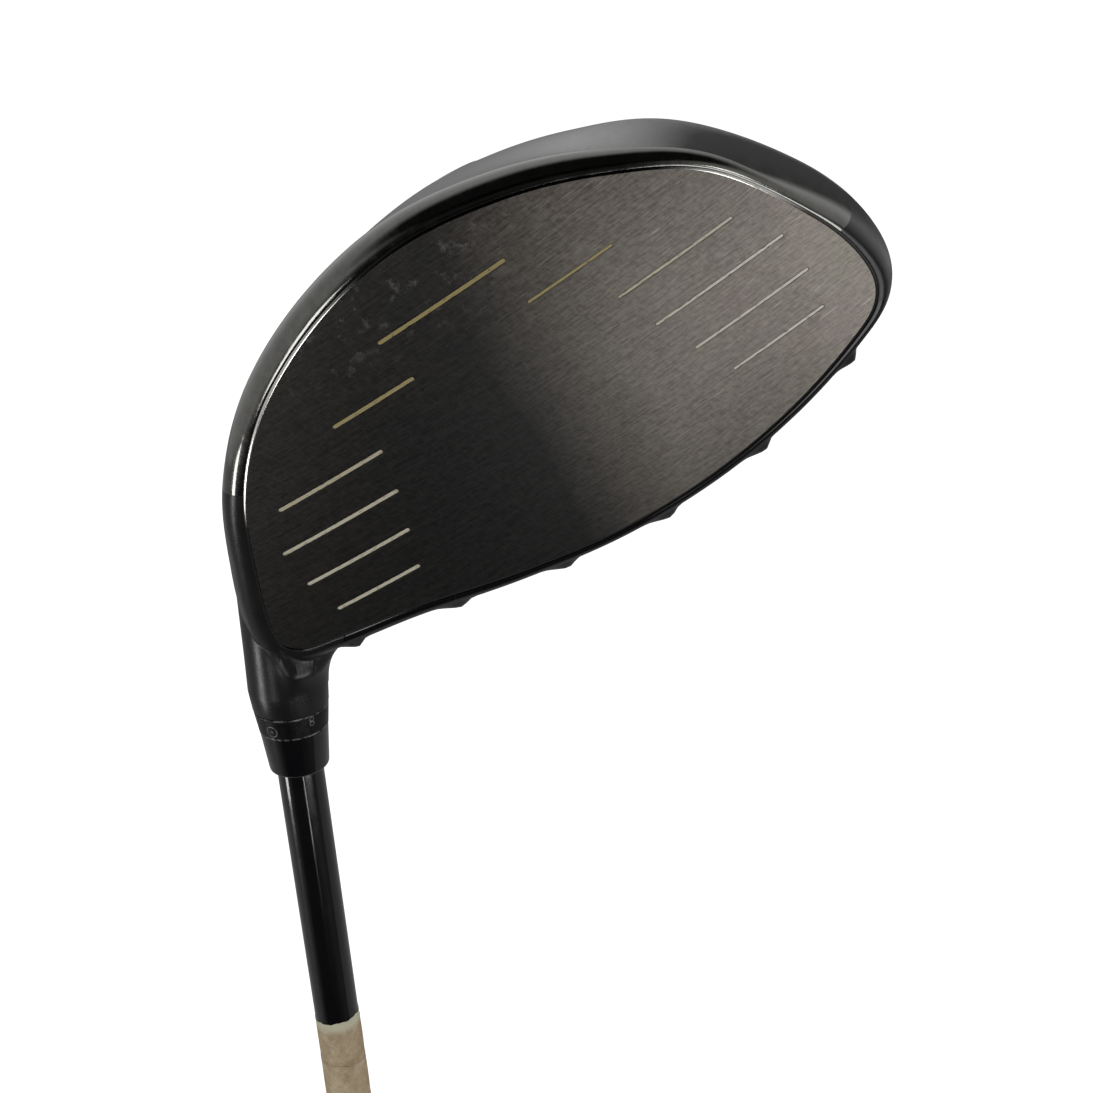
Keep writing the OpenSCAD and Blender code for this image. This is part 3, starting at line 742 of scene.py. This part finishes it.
def skin_shell(used, blend, raise_by=None):
    """Closed shell of the cells that used(row, knot) picks out, less those under the neck's blend.

    Returns its points, its faces, and the place (knot, share of the depth) of each face corner.
    """
    n_rows, n_columns = COARSE_ROWS * FINE_ROWS, N_KNOTS * FINE_COLUMNS
    i = np.arange(n_rows + 1) / FINE_ROWS
    t = np.arange(n_columns) / FINE_COLUMNS
    p = row_share(i)[:, None] * np.ones(n_columns)
    p[-1] = 1
    knots = np.ones(n_rows + 1)[:, None] * t[None, :]
    lift = raise_by(p, knots) if raise_by else 0.0
    outer = row(skin(np.clip(p, 0, 1), knots, -lift))
    inner = row(skin(np.clip(p, 0, 1), knots, SHELL_T))
    # The front stands back a little, and inside it makes room for the edge of the face plate
    behind = (outer[0, :, 0] - outer[..., 0]) / MM
    outer[..., 0] -= 0.1 * MM * np.exp(-behind / 0.5)
    inner[..., 0] -= 0.7 * MM * np.exp(-behind / 1.5)
    row_middle = (np.arange(n_rows) + 0.5) / FINE_ROWS
    column_middle = (np.arange(n_columns) + 0.5) / FINE_COLUMNS
    on = used(row_middle[:, None], column_middle[None, :]) & np.ones((n_rows, n_columns), bool)
    r, up = axis_radius(outer)
    close = (r < 16) & (up > 42)
    under = np.zeros(outer.shape[:2], bool)
    under[close] = blend.hidden(outer[close])
    corner = under & np.roll(under, -1, 1)
    on &= ~(corner[:-1] & corner[1:])
    layer = outer.shape[0] * n_columns

    def at(a, b):
        return a * n_columns + b % n_columns

    faces, uv = [], []
    for a, b in np.argwhere(on):
        quad = [at(a, b), at(a, b + 1), at(a + 1, b + 1), at(a + 1, b)]
        knot = b / FINE_COLUMNS + (N_KNOTS if b / FINE_COLUMNS < 1 else 0)
        far = knot + 1 / FINE_COLUMNS
        place = [(knot, p[a, 0]), (far, p[a, 0]), (far, p[a + 1, 0]), (knot, p[a + 1, 0])]
        faces += [quad, [k + layer for k in quad[::-1]]]
        uv += place + place[::-1]
        for side, (da, db) in enumerate(((-1, 0), (0, 1), (1, 0), (0, -1))):
            free = not (0 <= a + da < n_rows) or not on[a + da, (b + db) % n_columns]
            if free and a + da < n_rows:
                x, y = side, (side + 1) % 4
                faces.append([quad[y], quad[x], quad[x] + layer, quad[y] + layer])
                uv += [place[y], place[x], place[x], place[y]]
    points = np.concatenate([outer.reshape(-1, 3), inner.reshape(-1, 3)])
    kept = np.unique(np.array(faces))
    new = np.zeros(len(points), int)
    new[kept] = np.arange(len(kept))
    return points[kept], new[np.array(faces)].tolist(), uv


PORT_R = 4.8
PORT_WALL = 0.8
PORT_TOP = 41.0
PORT_SIDES = 64


def port_cutter():
    """Cylinder that opens the hosel screw's port in the sole."""
    points, faces = lathe([(PORT_R, CLUB_LEN - 30), (PORT_R, CLUB_LEN + 30)], PORT_SIDES)
    faces += [list(range(PORT_SIDES))[::-1], list(range(PORT_SIDES, 2 * PORT_SIDES))]
    return plain_object("port_cutter", points, faces)


TRACK_AXIS = (-38.0, -32.0, 14.2)
TRACK_R = 45.0
TRACK_TILT = math.radians(28)
TRACK_HALF = math.radians(30.6)
TRACK_HALF_WIDTH = 7.2
TRACK_LOW, TRACK_HIGH = -5, 15


def track_cutter():
    """Ring sector a little larger than the weight track."""
    a = np.linspace(-TRACK_HALF, TRACK_HALF, 41)
    x, y, z = TRACK_AXIS
    half = TRACK_HALF_WIDTH
    corners = []
    for side, rise in ((-half, TRACK_LOW), (half, TRACK_LOW), (half, TRACK_HIGH), (-half, TRACK_HIGH)):
        r = TRACK_R + side * math.cos(TRACK_TILT) - rise * math.sin(TRACK_TILT)
        up = side * math.sin(TRACK_TILT) + rise * math.cos(TRACK_TILT)
        corners.append(np.stack([x - r * np.cos(a), y - r * np.sin(a), z + up + 0 * a], -1))
    points = row(np.stack(corners, 1)).reshape(-1, 3)
    faces = grid_faces(len(a), 4, wrap=True)
    faces += [[3, 2, 1, 0], [len(points) - 4 + k for k in range(4)]]
    return plain_object("track_cutter", points, faces)


def skin_piece(m, blend, name, slot, node, used, raise_by=None):
    """A shell of the head's skin, which takes the place of a CAD node."""
    points, faces, uv = skin_shell(used, blend, raise_by)
    return make(name, points, faces, m, "head", slot, [node], uv=uv)


def body_skin(m, blend):
    """Skirt, sole and rear of the body casting, open at the weight track and the screw port."""
    obj = skin_piece(m, blend, "body_skin", "head_satin", "head_body", in_body)
    cut(obj, track_cutter())
    cut(obj, port_cutter())
    shade(obj, 35)


def screw_tube(m):
    """Wall of the port, up to the screw's seat; its foot follows the sole's slope."""
    a = np.linspace(0, 2 * np.pi, PORT_SIDES, endpoint=False)
    outside = PORT_R + PORT_WALL
    rings = []
    for r, at_top in ((PORT_R, False), (PORT_R, True), (outside, True), (outside, False)):
        foot = 17.5 - r * np.sin(a) * math.tan(math.radians(64))
        up = np.full(PORT_SIDES, PORT_TOP) if at_top else foot
        rings.append(np.stack([r * np.cos(a), r * np.sin(a), CLUB_LEN - up], -1) * MM)
    faces = grid_faces(len(rings) + 1, PORT_SIDES, wrap=True)
    make("screw_tube", np.concatenate(rings + rings[:1]), faces, m, "head", "head_satin")


def neck_piece(m, blend):
    """The neck: its bore, its mouth, and the blend into the head."""
    grid = blend.patch()
    columns = grid.shape[1]
    a = np.linspace(0, 2 * np.pi, columns, endpoint=False)
    mouth = NECK_R - 0.35
    bore = [(NECK_BORE, 45), (NECK_BORE, NECK_TOP)]
    lip = rounded(bore + [(mouth, NECK_TOP), (NECK_R, NECK_TOP - 4)], 0.35)
    rings = [np.stack([r * np.cos(a), r * np.sin(a), CLUB_LEN - up + 0 * a], -1) * MM
             for r, up in fine_profile(lip, 4)]
    inward = np.zeros_like(grid[-1])
    inward[:, :2] = -grid[-1][:, :2] / np.linalg.norm(grid[-1][:, :2], axis=1)[:, None]
    inward[:, 2] = 1
    points = np.concatenate([*rings, *grid, grid[-1] + inward * 0.25 * MM])
    faces = grid_faces(len(points) // columns, columns, wrap=True)
    make("neck", points, faces, m, "head", "head_satin", sharp=50)


def sole_band(m, blend):
    obj = skin_piece(m, blend, "band", "smoked_chrome", "sole_band", in_band)
    cut(obj, port_cutter())
    shade(obj, 35)


# Scorelines: height above the face centre, inner end, outer end
SCORELINES = [(14.2, 31, 47.5), (7.2, 28, 48.5), (0, 25, 48), (-7.3, 22.7, 43), (-14.9, 11, 26)]
HEEL_HALF, TOE_HALF = 0.34, 0.25       # half widths
LINES = [(v, a, b, TOE_HALF) for v, a, b in SCORELINES]
LINES += [(v, -b, -a, HEEL_HALF) for v, a, b in SCORELINES]
LINES += [(-22.5, -11.5, 11.5, HEEL_HALF)]
LINE_DEPTH = 0.18
LINE_EASE = 0.06
PAINT_GAP = 0.03
PAINT_BELOW = 0.04
RIM_W = 0.5


def line_depth(u, v):
    """Depth of the grooves: straight floor, rounded ends and slightly eased rims."""
    depth = np.zeros(np.broadcast(u, v).shape)
    for height, a, b, half in LINES:
        gap = np.hypot(v - height, np.maximum(np.maximum(a - u, u - b), 0))
        depth = np.maximum(depth, LINE_DEPTH * smooth(gap, half + LINE_EASE, half - LINE_EASE))
    return depth


def grid_places(low, high, fine_at):
    """Places a millimetre apart, with closer ones at the scorelines' edges."""
    near = np.array([-0.5, -0.44, -0.32, -0.2, 0, 0.2, 0.32, 0.44, 0.5])
    places = np.concatenate([np.arange(low, high, 1.0)] + [place + near for place in fine_at])
    return np.unique(np.round(places, 3))


def face_plate(m):
    """The face, with its scorelines cut in, out to the bevel."""
    vs = grid_places(-34, 31, [height for height, _, _, _ in LINES])
    us = grid_places(-62, 59, [end for _, a, b, _ in LINES for end in (a, b)])
    u, v = np.meshgrid(us, vs, indexing="ij")
    flat = np.stack([u, v], -1).reshape(-1, 2)
    t = np.linspace(0, N_KNOTS, 721)[:-1]
    rim = outline(t) - across(outline, t) * RIM_W
    gap = np.linalg.norm(flat[:, None] - rim[None, ::3], axis=-1).min(1)
    keep = (inside_ring(flat, rim) & (gap > 0.7)).reshape(u.shape)
    cell = keep[:-1, :-1] & keep[1:, :-1] & keep[1:, 1:] & keep[:-1, 1:]
    n_v = len(vs)
    faces = []
    for i, j in np.argwhere(cell):
        faces.append([i * n_v + j, (i + 1) * n_v + j, (i + 1) * n_v + j + 1, i * n_v + j + 1])
    # The border: from the ragged edge of the grid out to the rim
    start = len(flat)
    faces += bridge(loop_of(faces), flat, list(range(start, start + len(t))), rim)
    places = np.concatenate([flat, rim])
    down = np.concatenate([line_depth(flat[:, 0], flat[:, 1]), np.zeros(len(t))])
    points = row(face_point(places[:, 0], places[:, 1], -down))
    uv = [places[k] for f in faces for k in f]
    make("face", points, faces, m, "head", "face_metal", ["face_plate"], sharp=30, uv=uv)
    face_rim(m, t)


def face_rim(m, t):
    """Polished bevel round the face plate, and the plate's edge behind it."""
    levels = [(RIM_W, 0.0), (0.06, -0.08), (0.03, -0.15), (0.03, -0.65)]
    rings = []
    for inward, up in levels:
        q = outline(t) - across(outline, t) * inward
        rings.append(row(face_point(q[:, 0], q[:, 1], up)))
    uv = []
    for i in range(len(levels) - 1):
        for a in t:
            b = a + t[1]
            uv += [(a, i), (b, i), (b, i + 1), (a, i + 1)]
    faces = grid_faces(len(levels), len(t), wrap=True)
    points = np.concatenate(rings)
    make("face_rim", points, faces, m, "head", "face_metal", sharp=60, uv=uv, finish="rim_metal")


def line_paint(m):
    """Paint that lies in the scorelines, a little below the face."""
    n_along, n_cap = 40, 9
    points, faces = [], []
    for height, a, b, half in LINES:
        wide = half - PAINT_GAP
        faces += grid_faces(2, n_along, start=len(points))
        for side in (-wide, wide):
            points += [(u, height + side) for u in np.linspace(a, b, n_along)]
        for end, first_angle in ((b, -0.5 * np.pi), (a, 0.5 * np.pi)):
            middle = len(points)
            points.append((end, height))
            for x in np.linspace(first_angle, first_angle + np.pi, n_cap):
                points.append((end + wide * math.cos(x), height + wide * math.sin(x)))
            faces += [[middle, middle + k, middle + k + 1] for k in range(1, n_cap)]
    flat = np.array(points)
    uv = [flat[k] for f in faces for k in f]
    points = row(face_point(flat[:, 0], flat[:, 1], -PAINT_BELOW))
    make("scoreline_fill", points, faces, m, "head", "line_paint", ["scoreline_paint"], uv=uv)


def loop_of(faces):
    """The outer edge of a set of faces, as vertices in order."""
    edges = {edge: True for f in faces for edge in zip(f, f[1:] + f[:1])}
    after = {a: b for a, b in edges if (b, a) not in edges}
    first = next(iter(after))
    out, k = [first], after[first]
    while k != first:
        out.append(k)
        k = after[k]
    return out


def bridge(loop, where, ring, ring_at):
    """Triangles between a ragged loop and a smooth ring around it."""
    centre = where[loop].mean(0)

    def clockwise(q):
        turn = np.arctan2(q[:, 1] - centre[1], q[:, 0] - centre[0])
        return ((np.diff(turn) + np.pi) % (2 * np.pi) - np.pi).sum() < 0

    if clockwise(where[loop]):
        loop = loop[::-1]
    if clockwise(ring_at):
        ring, ring_at = ring[::-1], ring_at[::-1]
    first = int(np.argmin(np.linalg.norm(ring_at - where[loop[0]], axis=1)))
    ring, ring_at = ring[first:] + ring[:first], np.roll(ring_at, -first, 0)
    # Both closed, and walked together: each step is the shorter of the two triangles
    loop, ring = loop + loop[:1], ring + ring[:1]
    p, q = where[loop], np.concatenate([ring_at, ring_at[:1]])
    i = j = 0
    faces = []
    while i < len(loop) - 1 or j < len(ring) - 1:
        ring_done = j == len(ring) - 1
        loop_left = i < len(loop) - 1
        if ring_done or (loop_left and math.dist(p[i + 1], q[j]) < math.dist(p[i], q[j + 1])):
            faces.append([loop[i], ring[j], loop[i + 1]])
            i += 1
        else:
            faces.append([loop[i], ring[j], ring[j + 1]])
            j += 1
    return faces


def sole_badge(m):
    """Blank brushed plaque with rounded corners, laid on the sole."""
    rows, columns = 24, 40
    y, x = np.meshgrid(np.linspace(-1, 1, rows), np.linspace(-1, 1, columns), indexing="ij")
    t = (BADGE_FROM + BADGE_TO) / 2 + x * (1 - 0.5 * y ** 6) ** 0.25 * (BADGE_TO - BADGE_FROM) / 2
    p = row_share(BADGE_ROW + y * (1 - 0.5 * x ** 6) ** 0.25)
    edge = np.maximum(abs(x), abs(y))
    top = row(skin(p, t, -0.35 * (1 - 0.4 * smooth(edge, 0.93, 1.0))))
    foot = row(skin(p, t, 0.1))
    points = np.concatenate([top.reshape(-1, 3), foot.reshape(-1, 3)])
    faces = grid_faces(rows, columns)
    n = rows * columns
    rim = loop_of(faces)
    faces += [[a, b, b + n, a + n] for a, b in zip(rim, rim[1:] + rim[:1])]
    make("badge", points, faces, m, "head", "badge", ["sole_badge"])


# ---- Hosel, shaft and grip ----

def up_shaft(profile):
    return [(r, CLUB_LEN - up) for r, up in profile]


def turned(name, profile, m, slot, replaces):
    """Round piece of the shaft assembly, from a profile of (radius, distance up the shaft)."""
    points, faces = lathe(up_shaft(profile))
    make(name, points, faces, m, "shaft_assembly", slot, replaces, sharp=40)


def collar_marks(m):
    """Two small stamped marks on the sleeve's collar: a ring with a dot, and two loops."""

    n = 32

    def wrapped(name, turn, up, rings):
        """Rings of (height, radius, half width), wrapped on the collar's cone."""
        points, faces = [], []
        for height, radius, half in rings:
            faces += grid_faces(2, n, wrap=True, start=len(points))
            for r in (radius - half, radius + half):
                for a in np.linspace(0, 2 * np.pi, n, endpoint=False):
                    z = up + height + r * math.sin(a)
                    out = np.interp(z, [NECK_TOP, COLLAR_TOP], [NECK_R - 0.4, NECK_R - 0.95]) + 0.012
                    x = turn + r * math.cos(a) / out
                    points.append((out * math.cos(x) * MM, out * math.sin(x) * MM, (CLUB_LEN - z) * MM))
        make(name, points, faces, m, "shaft_assembly", "sleeve_black", finish="mark_paint")

    wrapped("mark_ring", math.radians(-25), NECK_TOP + 2.6, [(0, 1.05, 0.09), (0, 0.13, 0.12)])
    wrapped("mark_loops", math.radians(42), NECK_TOP + 1.3, [(-0.42, 0.42, 0.08), (0.46, 0.42, 0.08)])


def ferrule(m):
    foot = COLLAR_TOP + 0.05
    outside = rounded([(NECK_R - 1.0, foot), (5.5, FERRULE_TOP), (4.35, FERRULE_TOP)], 0.9, 9)
    turned("ferrule_cone", [(4.35, foot)] + outside, m, "ferrule_gloss", ["ferrule"])


def shaft(m):
    outside = [(4.3, 49.05), (4.3, 190), (7.62, 912), (7.62, 1157)]
    bore = [(6.9, 1157), (6.9, 912), (2.9, 190)]
    profile = fine_profile(rounded([(2.9, 49.05)] + outside + bore, 0.2, 3), 40)
    turned("shaft_tube", profile, m, "shaft_gloss", ["shaft"])


def masking_tape(m):
    """Three turns of tape, each a little askew, with creases and a torn end."""
    rng = random.Random(7)
    waves = [(rng.uniform(0, 6.28), rng.choice((1, 2, 3, 5)), rng.uniform(-0.5, 0.5)) for _ in range(8)]

    def crease(a, z):
        total = sum(0.03 * np.sin(k * a + phase + slope * z) for phase, k, slope in waves)
        return np.abs(total) * 0.7

    for n, (low, high, skew) in enumerate(((139.6, 152.5, 0.35), (150, 164, -0.5), (162, 175.4, 0.4))):
        r = 4.36 + 0.07 * (n % 2)
        profile = [(r - 0.04, low), (r, low), (r, high), (r - 0.04, high)]
        points, faces = lathe(up_shaft(fine_profile(profile, 0.8)), 96, crease)
        turn = np.arctan2(points[:, 1], points[:, 0])
        ragged = 0.10 * np.sin(7 * turn + n) + 0.06 * np.sin(17 * turn + 2 * n)
        points[:, 2] += (skew * np.cos(turn - 1.0 - n) + ragged) * MM
        replaced = ["masking_tape"] if n == 0 else ()
        make(f"tape_turn_{n + 1}", points, faces, m, "shaft_assembly", "masking_tape", replaced)
    tape_fibre(m)


def tape_fibre(m):
    """A loose fibre at the tape's edge."""
    curve = bpy.data.curves.new("tape_fibre", "CURVE")
    curve.dimensions = "3D"
    curve.bevel_depth = 0.05 * MM
    spline = curve.splines.new("NURBS")
    path = [(4.3, 0.5, 0), (4.7, 1.0, 0.3), (5.0, 1.6, 1.0), (5.0, 1.9, 1.9)]
    spline.points.add(len(path) - 1)
    for point, (x, y, dz) in zip(spline.points, path):
        point.co = (y * MM, x * MM, (CLUB_LEN - 140.3 + dz) * MM, 1)
    spline.use_endpoint_u = True
    fibre = add("tape_fibre", curve)
    curve.materials.append(m["masking_tape"])
    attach(fibre, "shaft_assembly")


def grip(m):
    """Tapered rubber grip with two zones of fine cut pattern."""
    bore = 7.9

    def pattern(a, z):
        cross = np.minimum(np.abs(np.sin(14 * a + z * 0.9)), np.abs(np.sin(14 * a - z * 0.9)))
        groove = smooth(cross, 0.28, 0.1)
        zone = smooth(z, 22, 25) * smooth(z, 118, 115) + smooth(z, 134, 137) * smooth(z, 236, 233)
        ring = smooth(np.abs(z - 126), 1.6, 1.2)
        for place in (122, 130):
            ring = ring + smooth(np.abs(z - place), 0.8, 0.5)
        return -0.35 * groove * zone - 0.45 * np.clip(ring, 0, 1)

    outside = [(13.05, 14), (12.6, 40), (11.2, 110), (9.9, 190), (8.6, 264)]
    points, faces = lathe(fine_profile(outside, 0.55), 256, pattern)
    rest = [(8.6, 264), (8.1, 267), (bore, 267), (bore, 9.05), (14.0, 9.05), (13.05, 14)]
    more, more_faces = lathe(fine_profile(rounded(rest, 0.8), 20), 256)
    offset = len(points)
    faces += [[k + offset for k in f] for f in more_faces]
    points = np.concatenate([points, more])
    make("grip_rubber", points, faces, m, "shaft_assembly", "grip_rubber", ["grip_body"])


def keep_cad_nodes(m):
    """CAD nodes shown as they are, with their finishes."""
    finishes = {
        "steel": ["spline_seat", "screw_bushing", "hosel_screw_washer", "hosel_screw", "weight_nut",
                  "weight_screw"],
        "dark_steel": ["screw_retaining_ring", "weight_screw_clip"],
        "track_black": ["weight_track"], "weight_metal": ["slide_weight"],
        "slug_metal": ["weight_slugs"], "sleeve_black": ["adapter_sleeve"],
        "plug_plastic": ["tip_plug"], "grip_tape": ["grip_tape"], "cap_rubber": ["grip_cap"]}
    for slot, nodes in finishes.items():
        for node in nodes:
            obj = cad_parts[node]
            obj.data.materials.clear()
            obj.data.materials.append(m[slot])


# ---- Stage ----

def area_light(name, place, target, size, power):
    data = bpy.data.lights.new(name, "AREA")
    data.shape = "RECTANGLE"
    data.size, data.size_y = size
    data.energy = power
    obj = add(name, data)
    obj.location = place
    obj.rotation_euler = (Vector(target) - Vector(place)).to_track_quat("-Z", "Y").to_euler()


# Dark patches of the room: direction, cosine where the patch is full, cosine where it ends, and
# the share of the room's brightness that is left in it
PATCHES = [
    ((0.95, -0.08, 0.30), 0.92, 0.70, 0.06),
    ((0.80, -0.10, -0.58), 0.90, 0.62, 0.10),
    ((0.2, 0.0, 1.0), 0.75, 0.55, 0.03),
    ((-0.97, 0.27, 0.1), 0.985, 0.95, 0.12),
    ((-0.95, -0.16, -0.3), 0.97, 0.92, 0.5),
    ((0.45, 0.85, -0.4), 0.92, 0.75, 0.35),
    ((-0.2, 0.0, -1.0), 0.80, 0.10, 0.2),
]
ROOM_LEVEL = 0.5
BACKDROP_LEVEL = 1.05


def studio_world():
    """Soft grey room with dark patches for reflections; the camera sees it plain white."""
    world = bpy.data.worlds.new("studio")
    bpy.context.scene.world = world
    world.use_nodes = True
    n = Nodes(world.node_tree)
    towards = n.node("ShaderNodeTexCoord").outputs["Generated"]
    level = ROOM_LEVEL
    for place, full, end, left in PATCHES:
        dot = n.node("ShaderNodeVectorMath", {1: Vector(place).normalized()}, operation="DOT_PRODUCT")
        n.link(towards, dot.inputs[0])
        level = n.times(level, n.span(dot.outputs["Value"], end, full, 1.0, left))
    white = (1, 1, 1, 1)
    room = n.tree.nodes["Background"]
    room.inputs["Color"].default_value = white
    n.link(level, room.inputs["Strength"])
    backdrop = n.node("ShaderNodeBackground", {"Color": white, "Strength": BACKDROP_LEVEL})
    mix = n.node("ShaderNodeMixShader")
    n.link(n.node("ShaderNodeLightPath").outputs["Is Camera Ray"], mix.inputs["Fac"])
    n.link(room.outputs[0], mix.inputs[1])
    n.link(backdrop.outputs[0], mix.inputs[2])
    n.link(mix.outputs[0], n.tree.nodes["World Output"].inputs["Surface"])


def floor():
    """Plain pale floor, which glows for the camera and hardly for reflections."""
    mesh = bpy.data.meshes.new("floor")
    mesh.from_pydata([(-6, -5, 0), (0.3, -5, 0), (0.3, 5, 0), (-6, 5, 0)], [], [(0, 1, 2, 3)])
    obj = add("floor", mesh)
    obj.location.z = -0.5 * MM
    white = Shader("floor_white", Roughness=0.9, Emission_Color=(1, 1, 1, 1))
    shade_of_white = white.noise(white.place(), 0.01)
    white.set("Base Color", white.mix(shade_of_white, (0.88, 0.88, 0.88), (0.92, 0.92, 0.92)))
    seen = white.node("ShaderNodeLightPath").outputs["Is Camera Ray"]
    white.set("Emission Strength", white.span(seen, 0, 1, 0.05, 1.0))
    mesh.materials.append(white.material)


def camera():
    """The photographer's place, fitted to the photo."""
    obj = add("camera", bpy.data.cameras.new("camera"))
    right = Vector((-0.02377, 0.99718, -0.07118))
    down = Vector((0.38565, -0.05654, -0.92091))
    turn = Matrix((right, -down, -right.cross(down))).transposed()
    obj.matrix_world = Matrix.Translation((0.26096, 0.06278, 1.22824)) @ turn.to_4x4()
    obj.data.sensor_width = 36
    obj.data.lens = 53.39
    obj.data.clip_start = 0.01
    bpy.context.scene.camera = obj


def stage():
    """Floor, room, lights and camera."""
    floor()
    studio_world()
    head = (0.0, 0.03, 1.13)
    shaft_end = (0.0, 0.0, 0.9)
    area_light("toe_panel", (0.80, 0.75, 0.72), head, (0.7, 0.45), 3.2)
    area_light("heel_panel", (0.80, -0.47, 0.98), head, (0.16, 0.4), 1.1)
    area_light("neck_panel", (0.38, -0.92, 0.66), shaft_end, (0.22, 0.3), 1.6)
    area_light("right_strip", (0.75, 0.27, 0.65), shaft_end, (0.05, 0.14), 0.12)
    area_light("toe_highlight", (0.77, 0.62, 1.24), head, (0.15, 0.15), 0.4)
    camera()
    bpy.context.scene.view_settings.view_transform = "Standard"


def build():
    m = materials()
    blend = NeckBlend()
    body_skin(m, blend)
    neck_piece(m, blend)
    screw_tube(m)
    skin_piece(m, blend, "crown", "crown_paint", "crown_shell", in_crown, ridge_height)
    sole_band(m, blend)
    face_plate(m)
    line_paint(m)
    sole_badge(m)
    collar_marks(m)
    ferrule(m)
    shaft(m)
    masking_tape(m)
    grip(m)
    keep_cad_nodes(m)
    stage()


build()
